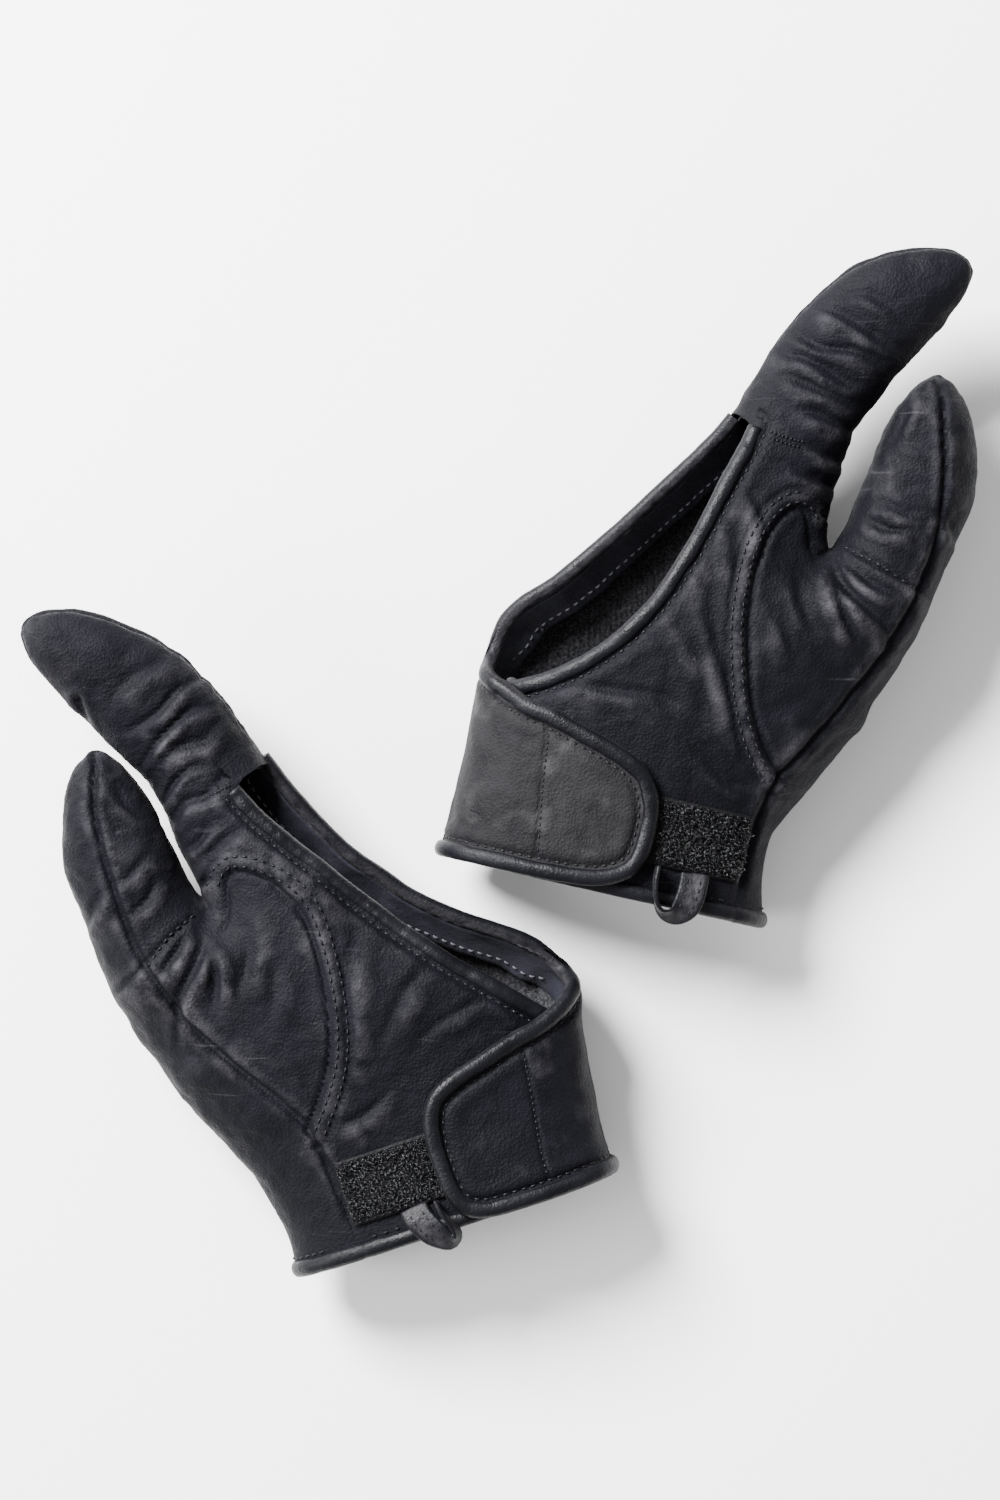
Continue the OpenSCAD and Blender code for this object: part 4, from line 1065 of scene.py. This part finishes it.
def build_stitches(maker):
    """All rows of stitches in the leather."""
    given, over, wrist = maker.given, maker.leather.over, maker.wrist
    ball = maker.glove.lines["ball_seam"]
    ball = ball[: int(len(ball) * 0.86)]
    maker.sew("ball_stitches", [over(offset_line(ball, by)) for by in (1.9, 4.9)], ["thumb_seam_thread"])
    maker.sew("cross_stitches", [over(smooth_line(given["cross_row"], 1.0))], ["thumb_cross_thread"], "thumb")
    edge_row = offset_line(palm_edge(given), -EDGE_ROW)[9:]
    maker.sew("palm_edge_stitches", [over(edge_row)], ["palm_edge_thread"], "index")
    tack = [over(smooth_line(line, 1.0)) + (1.15, 1.0) for line in given["tack"]]
    maker.sew("tack_stitches", tack, ["index_front"], "index")

    # the row inside the bound edge of the band and the tab, parted where the tab's bend starts
    row = offset_line(spaced(wrist.edge, 1.0), -EDGE_ROW)
    row = row[inside_distance(row, wrist.cut_line) > EDGE_ROW - 0.5]
    on_tab = row[:, 0] >= 0.5 * wrist.low[0]
    low = row[:, 1] < 20
    seam = spaced(wrist.seam, 1.0)
    seam = seam[inside_distance(seam, wrist.cut_line) > 5.5]
    maker.sew("band_stitches", [wrist.surface(row[~on_tab & ~low])], ["back_edge_thread"])
    maker.sew("tab_stitches", [wrist.surface(row[on_tab])], ["tab_thread"], "tab")
    maker.sew("tab_seam_stitches", [wrist.surface(seam) + (1.9, 1.35)], ["tab_thread"], "tab")
    x = np.arange(given["loop_right"], given["side_seam"][1][0] - 3, 1.0)
    u = np.arange(wrist.stop + 12, -2, 1.0)
    level = lambda v: np.column_stack([v, v * 0 + EDGE_ROW])
    hem = [over(level(x)), wrist.surface(level(u), tab=False), wrist.surface(row[~on_tab & low])]
    maker.sew("hem_stitches", hem, ["hem_thread"])


def build_facing(maker, edge):
    """The strip of leather sewn inside the back along its bound edge, and its row of stitches."""
    glove, seed = maker.glove, maker.seed
    rows = [glove.settle(spaced(edge, 1.2), 2)]
    for _ in range(FACING_ROWS):
        down = unit(np.cross(np.gradient(rows[-1], axis=0), glove.normals(rows[-1])))
        rows.append(glove.settle(rows[-1] + down, 2))
    strip = np.stack(rows[2:], 1)
    m, k = strip.shape[:2]
    points = strip.reshape(-1, 3)
    n = glove.normals(points)
    points = points - n * (2.6 + 0.25 * smooth_noise(points, 14, seed + 60, 2))[:, None]

    # it leans into the opening, and its lower edge turns back to the wall
    at, depth = np.divmod(np.arange(m * k), k)
    lean = np.interp(depth, [0, 11, 13.5, 16], [0.1, 4.8, 4.0, 0.8])
    lean *= ease(at / 6 + 0.3) * ease((m - 1 - at) / 9)
    points = points - unit(n * [1, 1, 0], 0.2) * lean[:, None]
    faces = grid_faces(m, k)
    a, b, c = points[faces[0]]
    if np.cross(b - a, c - a) @ n[0] < 0:
        faces = faces[:, ::-1]
    solid, solid_faces = thicken(points, faces, n, FACING)
    maker.add("facing_strip", solid, solid_faces, "facing_leather", "facing", ["edge_facing"], bend="index")

    # the stitches are on the strip's inner face, in the tenth row from the edge
    inner = slice(len(points), None)
    line, normals = [v[inner].reshape(m, k, 3)[2:-4, 9] for v in (solid, point_normals(solid, solid_faces))]
    row = stitches(line, normals, seed=seed + 61)
    maker.add("facing_stitches", *row, "thread", "pale_thread", ["back_edge_thread"], bend="index")


def build_loop_tape(maker):
    """The woven base of the looped tape."""
    x0, x1, y0, y1 = maker.given["tape"]
    plan, faces = grid(np.arange(x0, x1 + 0.01, 0.8), np.linspace(y0, y1, 27))
    p, n = maker.leather.over(plan)
    from_edge = np.minimum(plan[:, 1] - y0, y1 - plan[:, 1])
    rib = 0.07 * np.sin(plan[:, 0] * 2 * math.pi / 1.6) * (from_edge < 2)
    p = p + n * (0.95 + 0.15 * ease((from_edge - 1.4) / 0.8) + rib)[:, None]
    maker.add("loop_tape", *thicken(p, faces, n, TAPE), "loop_tape", "tape", ["loop_patch"])


def build_pile(maker):
    """The tape's small loops, thick where they show and thinner under the tab."""
    rng, seen = maker.rng, maker.given["tab_end"]
    x0, x1, y0, y1 = maker.given["tape"]
    count = 2600
    plan = np.vstack([
        np.column_stack([rng.uniform(*xs, number), rng.uniform(y0 + 1.5, y1 - 1.5, number)])
        for xs, number in (((seen, x1 - 0.4), count), ((x0 + 0.4, seen), count // 3))
    ])
    root, up = maker.leather.over(plan, 1.0)
    total = len(plan)
    way = rng.uniform(0, 2 * math.pi, total)
    flat = np.column_stack([np.cos(way), np.sin(way), way * 0])
    flat = unit(flat - up * (flat * up).sum(1)[:, None])
    lean = rng.normal(0, 0.45, (total, 1, 3))
    tall = rng.uniform(0.45, 1.15, (total, 1, 1))
    wide = rng.uniform(0.3, 0.7, (total, 1, 1))
    theta = np.linspace(-0.3, math.pi + 0.3, 7)[:, None]
    path = (root[:, None] + flat[:, None] * (wide * np.cos(theta)) + up[:, None] * (tall * np.sin(theta))
            + lean * np.sin(theta) ** 2)
    along = unit(np.gradient(path, axis=1))
    side = unit(np.cross(along, np.cross(flat, up)[:, None]))
    other = np.cross(along, side)
    turn = np.array([0, 2, 4])[:, None] * math.pi / 3
    ring = np.cos(turn) * side[:, :, None] + np.sin(turn) * other[:, :, None]
    rings = path[:, :, None] + PILE_WIRE * ring
    one = tube(rings[0], closed_ends=False)[1]
    faces = (one + (np.arange(total) * rings[0].size // 3)[:, None, None]).reshape(-1, 3)
    maker.add("loop_pile", rings.reshape(-1, 3), faces, "loop_tape", "pile", ["loop_patch"])


def build_hooks(maker):
    """The hooked tape under the tab."""
    wrist = maker.wrist
    _, _, y0, y1 = maker.given["tape"]
    us = np.arange(wrist.high[0] - 2, wrist.outline[:, 0].max(), 0.9)
    from_roll = lambda p: inside_distance(p, wrist.cut_line) - 5.5
    from_fold = lambda p: p[:, 0] - wrist.fold_u(p[:, 1]) - 4
    whole = grid(us, np.arange(y0 - 1.5, y1 + 1.5, 0.9))
    uv, faces = keep(*whole, lambda p: np.minimum(from_roll(p), from_fold(p)))
    p, n = wrist.surface(uv, -(LEATHER + 0.05))
    parts = [thicken(p, faces, n, HOOK_TAPE)]
    square = [[-0.1, -0.1], [0.1, -0.1], [0.1, 0.1], [-0.1, 0.1]]
    pick = maker.rng.choice(len(p), min(len(p), 420), replace=False)
    for q, m in zip(p[pick], n[pick]):
        path = np.array([q - m * 0.4, q - m * 0.75, q - m * 0.9 + [0.12, 0.05, 0]])
        parts.append(sweep(path, np.repeat([[0.0, 1, 0]], 3, 0), square))
    maker.add("hook_tape", *join(parts), "hook_tape", "hooks", ["hook_patch"], body="tab")


def build_tape_stitches(maker):
    """The two rows that hold the looped tape."""
    _, x1, y0, y1 = maker.given["tape"]
    x = np.arange(maker.given["tab_end"] - 3, x1 - 0.5, 1.0)
    rows = [maker.leather.over(np.column_stack([x, x * 0 + y]), 1.05) for y in (y0 + 0.8, y1 - 0.8)]
    thin = {"pitch": 2.4, "length": 1.6, "radius": 0.22, "seed": maker.seed + 72}
    sewn = join([stitches(*row, **thin) for row in rows])
    maker.add("tape_stitches", *sewn, "thread", "thread", ["patch_thread"])


def build_pull_loop(maker):
    """A strap that lies flat on the thumb's side and turns on edge on the other."""
    route = smooth_line(maker.given["pull_loop"], 0.8)
    palm = maker.glove.on_palm(np.column_stack([route[:, 0], np.maximum(route[:, 1], 0.5)]))
    line = np.column_stack([route[:, :2], palm[:, 2] + 1.2 + route[:, 2]])
    t = np.linspace(0, 1, len(line))
    tip = ease((t - 0.36) / 0.36)
    dip = -0.75 * np.sin(math.pi * np.clip((t - 0.15) / 0.6, 0, 1))
    normal = unit(np.column_stack([-0.95 * tip, dip, 1.0 - 0.92 * tip]))
    half = STRAP_HALF - 1.6 * ease((t - 0.3) / 0.3)
    section = [[-1, -0.35], [-0.93, 0.45], [-0.8, 0.62], [-0.55, 0.5], [0.0, 0.55], [0.55, 0.5], [0.8, 0.62],
               [0.93, 0.45], [1, -0.35], [0.9, -0.6], [0, -0.6], [-0.9, -0.6]]
    profile = np.repeat(np.array(section)[None], len(line), 0)
    profile[..., 0] *= half[:, None]
    # the strap's upper edges are painted paler: rubbed wear and a painted highlight
    wear = np.tile([0.1, 0.5, 0.6, 0.05, 0.0, 0.05, 0.6, 0.5, 0.1, 0, 0, 0], len(line))
    maker.add("pull_strap", *sweep(line, normal, profile), "binding_leather", "binding", ["pull_loop"],
              wear=wear, bend="pull_loop")
    left = np.cross(normal, unit(np.gradient(line, axis=0)))
    flat = slice(2, int(0.4 * len(line)))
    thin = {"pitch": 2.3, "length": 1.6, "radius": 0.24, "seed": maker.seed + 73}
    rows = [line + left * s * half[:, None] * 0.45 + normal * 0.5 for s in (-1, 1)]
    sewn = join([stitches(row[flat], normal[flat], **thin) for row in rows])
    maker.add("pull_strap_stitches", *sewn, "thread", "thread", ["pull_loop"], bend="pull_loop")


def build_glove(*given):
    maker = Maker(*given)
    build_panels(maker)
    build_lining(maker)
    build_band(maker)
    edge = build_back_rolls(maker)
    build_palm_rolls(maker)
    build_stitches(maker)
    build_loop_tape(maker)
    build_pile(maker)
    build_hooks(maker)
    build_tape_stitches(maker)
    build_pull_loop(maker)
    build_facing(maker, edge)


# ---- Materials ---------------------------------------------------------------------------------------
class Shade:
    """One material, built node by node."""

    def __init__(self, name, **fixed):
        self.material = bpy.data.materials.new(name)
        self.material.use_nodes = True
        self.tree = self.material.node_tree
        self.shader = self.tree.nodes["Principled BSDF"]
        for socket, value in fixed.items():
            self.shader.inputs[socket.replace("_", " ")].default_value = value
        self.place = self.node("ShaderNodeTexCoord").outputs["Object"]

    def node(self, kind, **values):
        made = self.tree.nodes.new(kind)
        for key, value in values.items():
            if key in made.inputs:
                self.put(made.inputs[key], value)
            else:
                setattr(made, key, value)
        return made

    def put(self, socket, value):
        if hasattr(value, "is_linked"):
            self.tree.links.new(value, socket)
        else:
            socket.default_value = value

    def noise(self, size_mm, detail=3.0, rough=0.55, squash=None):
        place = self.place
        if squash:
            mapping = self.node("ShaderNodeMapping")
            self.put(mapping.inputs["Vector"], place)
            mapping.inputs["Rotation"].default_value = squash[0]
            mapping.inputs["Scale"].default_value = squash[1]
            place = mapping.outputs[0]
        values = {"Vector": place, "Scale": 1000 / size_mm, "Detail": detail, "Roughness": rough}
        return self.node("ShaderNodeTexNoise", **values).outputs["Fac"]

    def cells(self, size_mm, feature="F1"):
        made = self.node("ShaderNodeTexVoronoi", feature=feature)
        self.put(made.inputs["Vector"], self.place)
        made.inputs["Scale"].default_value = 1000 / size_mm
        return made.outputs["Distance"]

    def math(self, how, a, b=0.0, clamp=False):
        made = self.node("ShaderNodeMath", operation=how, use_clamp=clamp)
        self.put(made.inputs[0], a)
        self.put(made.inputs[1], b)
        return made.outputs[0]

    def spread(self, value, low, high, to_low=0.0, to_high=1.0):
        made = self.node("ShaderNodeMapRange", Value=value)
        for key, number in (("From Min", low), ("From Max", high), ("To Min", to_low), ("To Max", to_high)):
            made.inputs[key].default_value = number
        return made.outputs[0]

    def mix(self, amount, a, b):
        made = self.node("ShaderNodeMix", data_type="RGBA")
        self.put(made.inputs[0], amount)
        for socket, value in ((made.inputs[6], a), (made.inputs[7], b)):
            self.put(socket, (*value, 1.0) if isinstance(value, tuple) and len(value) == 3 else value)
        return made.outputs[2]

    def attribute(self, name):
        return self.node("ShaderNodeAttribute", attribute_name=name).outputs["Fac"]

    def bump(self, layers):
        normal = None
        for height, depth_mm in layers:
            made = self.node("ShaderNodeBump")
            self.put(made.inputs["Height"], height)
            made.inputs["Distance"].default_value = depth_mm / 1000
            made.inputs["Strength"].default_value = 1.0
            if normal is not None:
                self.put(made.inputs["Normal"], normal)
            normal = made.outputs[0]
        self.put(self.shader.inputs["Normal"], normal)

    def done(self, color, roughness):
        self.put(self.shader.inputs["Base Color"], color)
        self.put(self.shader.inputs["Roughness"], roughness)
        return self.material


def nubuck(name, dark, middle, wear_and_highlight_tone, wear_level):
    """Brushed leather, cloudy between two dark tones, painted paler on raised ridges as rubbed wear and a
    painted highlight, and where it is specked or scratched.
    """
    s = Shade(name, Specular_IOR_Level=0.06, Sheen_Weight=0.01, Sheen_Roughness=0.4)
    broad, cloudy, fine = s.noise(42, 4), s.noise(9, 5, 0.6), s.noise(1.3, 3, 0.7)
    tone = s.math("ADD", s.math("MULTIPLY", broad, 0.55), s.math("MULTIPLY", cloudy, 0.45))
    base = s.mix(s.spread(tone, 0.36, 0.66), dark, middle)
    # raised ridges painted paler: rubbed wear and a painted highlight
    ridge = s.spread(s.attribute("wear"), 0.25, 1.5)
    patchy = s.spread(s.noise(8, 5, 0.65), 0.36, 0.74)
    rubbed_and_highlit = s.math("MULTIPLY", s.math("MULTIPLY", ridge, patchy), 0.75 * wear_level, True)
    some = s.spread(s.noise(16, 3), 0.48, 0.7, 0, 0.4)
    speck = s.math("MULTIPLY", s.spread(fine, 0.60, 0.78), some, True)
    streak = s.noise(26, 2, 0.5, ((0.2, 0.1, 0.7), (1.0, 14.0, 1.0)))
    few = s.spread(s.noise(30, 2), 0.5, 0.66, 0, 0.22)
    scratch = s.math("MULTIPLY", s.spread(streak, 0.66, 0.72), few, True)
    color = s.mix(s.math("ADD", s.math("ADD", rubbed_and_highlit, speck, True), scratch, True), base, wear_and_highlight_tone)
    grain, pore = s.cells(0.85), s.noise(0.5, 4, 0.7)
    s.bump([(s.noise(3.6, 4, 0.6), 0.26), (grain, 0.18), (pore, 0.1)])
    uneven = s.math("ADD", s.math("MULTIPLY", cloudy, 0.6), s.math("MULTIPLY", fine, 0.4))
    return s.done(color, s.spread(uneven, 0.3, 0.7, 0.5, 0.74))


def rolled_leather(name, dark, wear_and_highlight_tone):
    """Smoother leather, painted paler along the top of a roll: rubbed wear and a painted highlight on its
    crest.
    """
    s = Shade(name, Specular_IOR_Level=0.12, Sheen_Weight=0.01, Sheen_Roughness=0.4)
    tone = s.noise(11, 4)
    base = s.mix(s.spread(tone, 0.35, 0.65), dark, tuple(v * 1.7 for v in dark))
    patchy = s.spread(s.noise(3.2, 5, 0.65), 0.36, 0.64, 0.15, 1.0)
    # the crest painted paler: rubbed wear and a painted highlight
    rubbed_and_highlit = s.math("MULTIPLY", s.math("MULTIPLY", s.attribute("wear"), patchy), 0.55, True)
    color = s.mix(rubbed_and_highlit, base, wear_and_highlight_tone)
    s.bump([(s.noise(2.4, 4, 0.6), 0.3), (s.cells(0.7), 0.08)])
    return s.done(color, s.spread(tone, 0.3, 0.7, 0.38, 0.55))


def thread(name, color, rough):
    s = Shade(name, Specular_IOR_Level=0.14)
    twist = s.noise(0.45, 2, 0.5, ((0, 0, 0.6), (1, 3, 1)))
    s.bump([(twist, 0.12)])
    return s.done(s.mix(twist, color, tuple(2.2 * v for v in color)), rough)


def brushed_knit():
    s = Shade("brushed_knit", Specular_IOR_Level=0.06, Sheen_Weight=0.05, Sheen_Roughness=0.6)
    ribs = s.node("ShaderNodeTexWave", wave_type="BANDS", Scale=190.0, Distortion=2.0)
    s.put(ribs.inputs["Vector"], s.place)
    fuzz = s.noise(0.9, 5, 0.75)
    s.bump([(ribs.outputs["Fac"], 0.12), (fuzz, 0.6)])
    # the pale fuzz tone is lifted above the dark knit's own colour, against the shade inside the glove:
    # painted light
    return s.done(s.mix(s.spread(fuzz, 0.42, 0.66), (0.002, 0.002, 0.0026), (0.04, 0.04, 0.046)), 0.95)


def woven_tape():
    s = Shade("woven_tape", Specular_IOR_Level=0.1)
    weave = s.cells(0.55)
    s.bump([(weave, 0.2)])
    return s.done(s.mix(s.spread(weave, 0.1, 0.6), (0.0004, 0.0004, 0.0006), (0.003, 0.003, 0.0038)), 0.6)


def fibre(name, dark, light, rough):
    """Glossy plastic fibre, mottled between two tones; on the pile the light tone paints glints on a few
    bits.
    """
    s = Shade(name, Specular_IOR_Level=0.35)
    mottle = s.noise(0.7, 2, 0.6)
    s.bump([(s.noise(0.3, 2), 0.03)])
    return s.done(s.mix(s.spread(mottle, 0.55, 0.72), dark, light), rough)


def make_materials():
    black = (0.0011, 0.0011, 0.002)
    return {
        "leather": nubuck("nubuck", black, (0.0031, 0.0031, 0.0049), (0.04, 0.039, 0.044), 1.0),
        "tab_leather": nubuck("nubuck_rubbed", (0.0018, 0.0018, 0.0025), (0.0115, 0.0111, 0.0122),
                              (0.07, 0.067, 0.07), 0.9),
        # the thumb's ridges get a paler tone and more of it: brighter painted highlights on the thumb and its
        # ball, with rubbed wear
        "thumb_leather": nubuck("nubuck_worn_painted_highlight", black, (0.0034, 0.0034, 0.0052), (0.046, 0.045, 0.05), 1.1),
        "binding": rolled_leather("rolled_leather", (0.0013, 0.0013, 0.0022), (0.055, 0.053, 0.058)),
        # the facing strip, in shade inside the opening, is given a far paler leather tone than the rest:
        # painted light
        "facing": rolled_leather("facing_leather", (0.011, 0.011, 0.015), (0.06, 0.06, 0.065)),
        "thread": thread("thread", (0.0022, 0.0022, 0.003), 0.4),
        "pale_thread": thread("pale_thread", (0.035, 0.035, 0.04), 0.5),
        # the lining's tones are painted lighter than its dark knit, against the shade inside the glove
        "lining": brushed_knit(),
        "tape": woven_tape(),
        # the pile's pale tone paints glints on a few bits of its black loops
        "pile": fibre("pile_fibre_painted_glints", (0.0004, 0.0004, 0.0006), (0.09, 0.09, 0.098), 0.2),
        "hooks": fibre("hooks_fibre", (0.006, 0.006, 0.007), (0.012, 0.012, 0.014), 0.3),
    }


# ---- The view ----------------------------------------------------------------------------------------
def place_object(name, data, at=(0, 0, 0)):
    made = bpy.data.objects.new(name, data)
    made.location = at
    bpy.context.collection.objects.link(made)
    return made


def make_camera():
    """Straight above, over a stretch of the table that is seen 0.465 m high."""
    seen, height, glove_level, sensor = 0.465, 1.9, 0.025, 24.0
    camera = bpy.data.cameras.new("camera")
    camera.sensor_fit = "VERTICAL"
    camera.sensor_height = sensor
    camera.lens = sensor * (height - glove_level) / seen
    camera.clip_end = 20
    bpy.context.scene.camera = place_object("camera", camera, (-0.0004, 0.0048, height))


def make_table():
    mesh = bpy.data.meshes.new("floor")
    mesh.from_pydata([(-3, -3, 0), (3, -3, 0), (3, 3, 0), (-3, 3, 0)], [], [(0, 1, 2, 3)])
    floor = place_object("floor", mesh)
    s = Shade("white_table", Specular_IOR_Level=0.1)
    floor.data.materials.append(s.done(s.mix(s.noise(300, 2), (0.86, 0.86, 0.865), (0.88, 0.88, 0.885)), 0.9))


def make_light():
    """A bright room, a large lamp from the upper left and a weak one from the left."""
    world = bpy.data.worlds.new("studio")
    bpy.context.scene.world = world
    world.use_nodes = True
    world.node_tree.nodes["Background"].inputs["Color"].default_value = (1, 1, 1, 1)
    world.node_tree.nodes["Background"].inputs["Strength"].default_value = 0.85
    for name, place, size, power in (
        ("key", (-0.95, 0.95, 1.25), 0.85, 265),
        ("side", (-1.3, -0.3, 0.8), 0.7, 26),
    ):
        light = bpy.data.lights.new(name, "AREA")
        light.shape, light.size, light.energy = "DISK", size, power
        lamp = place_object(name, light, place)
        lamp.rotation_euler = (-Vector(place)).to_track_quat("-Z", "Y").to_euler()


make_camera()
make_table()
make_light()
looks = make_materials()
build_glove("right", RIGHT, RIGHT_FOLDS, 11, looks)
build_glove("left", LEFT, LEFT_FOLDS, 37, looks)
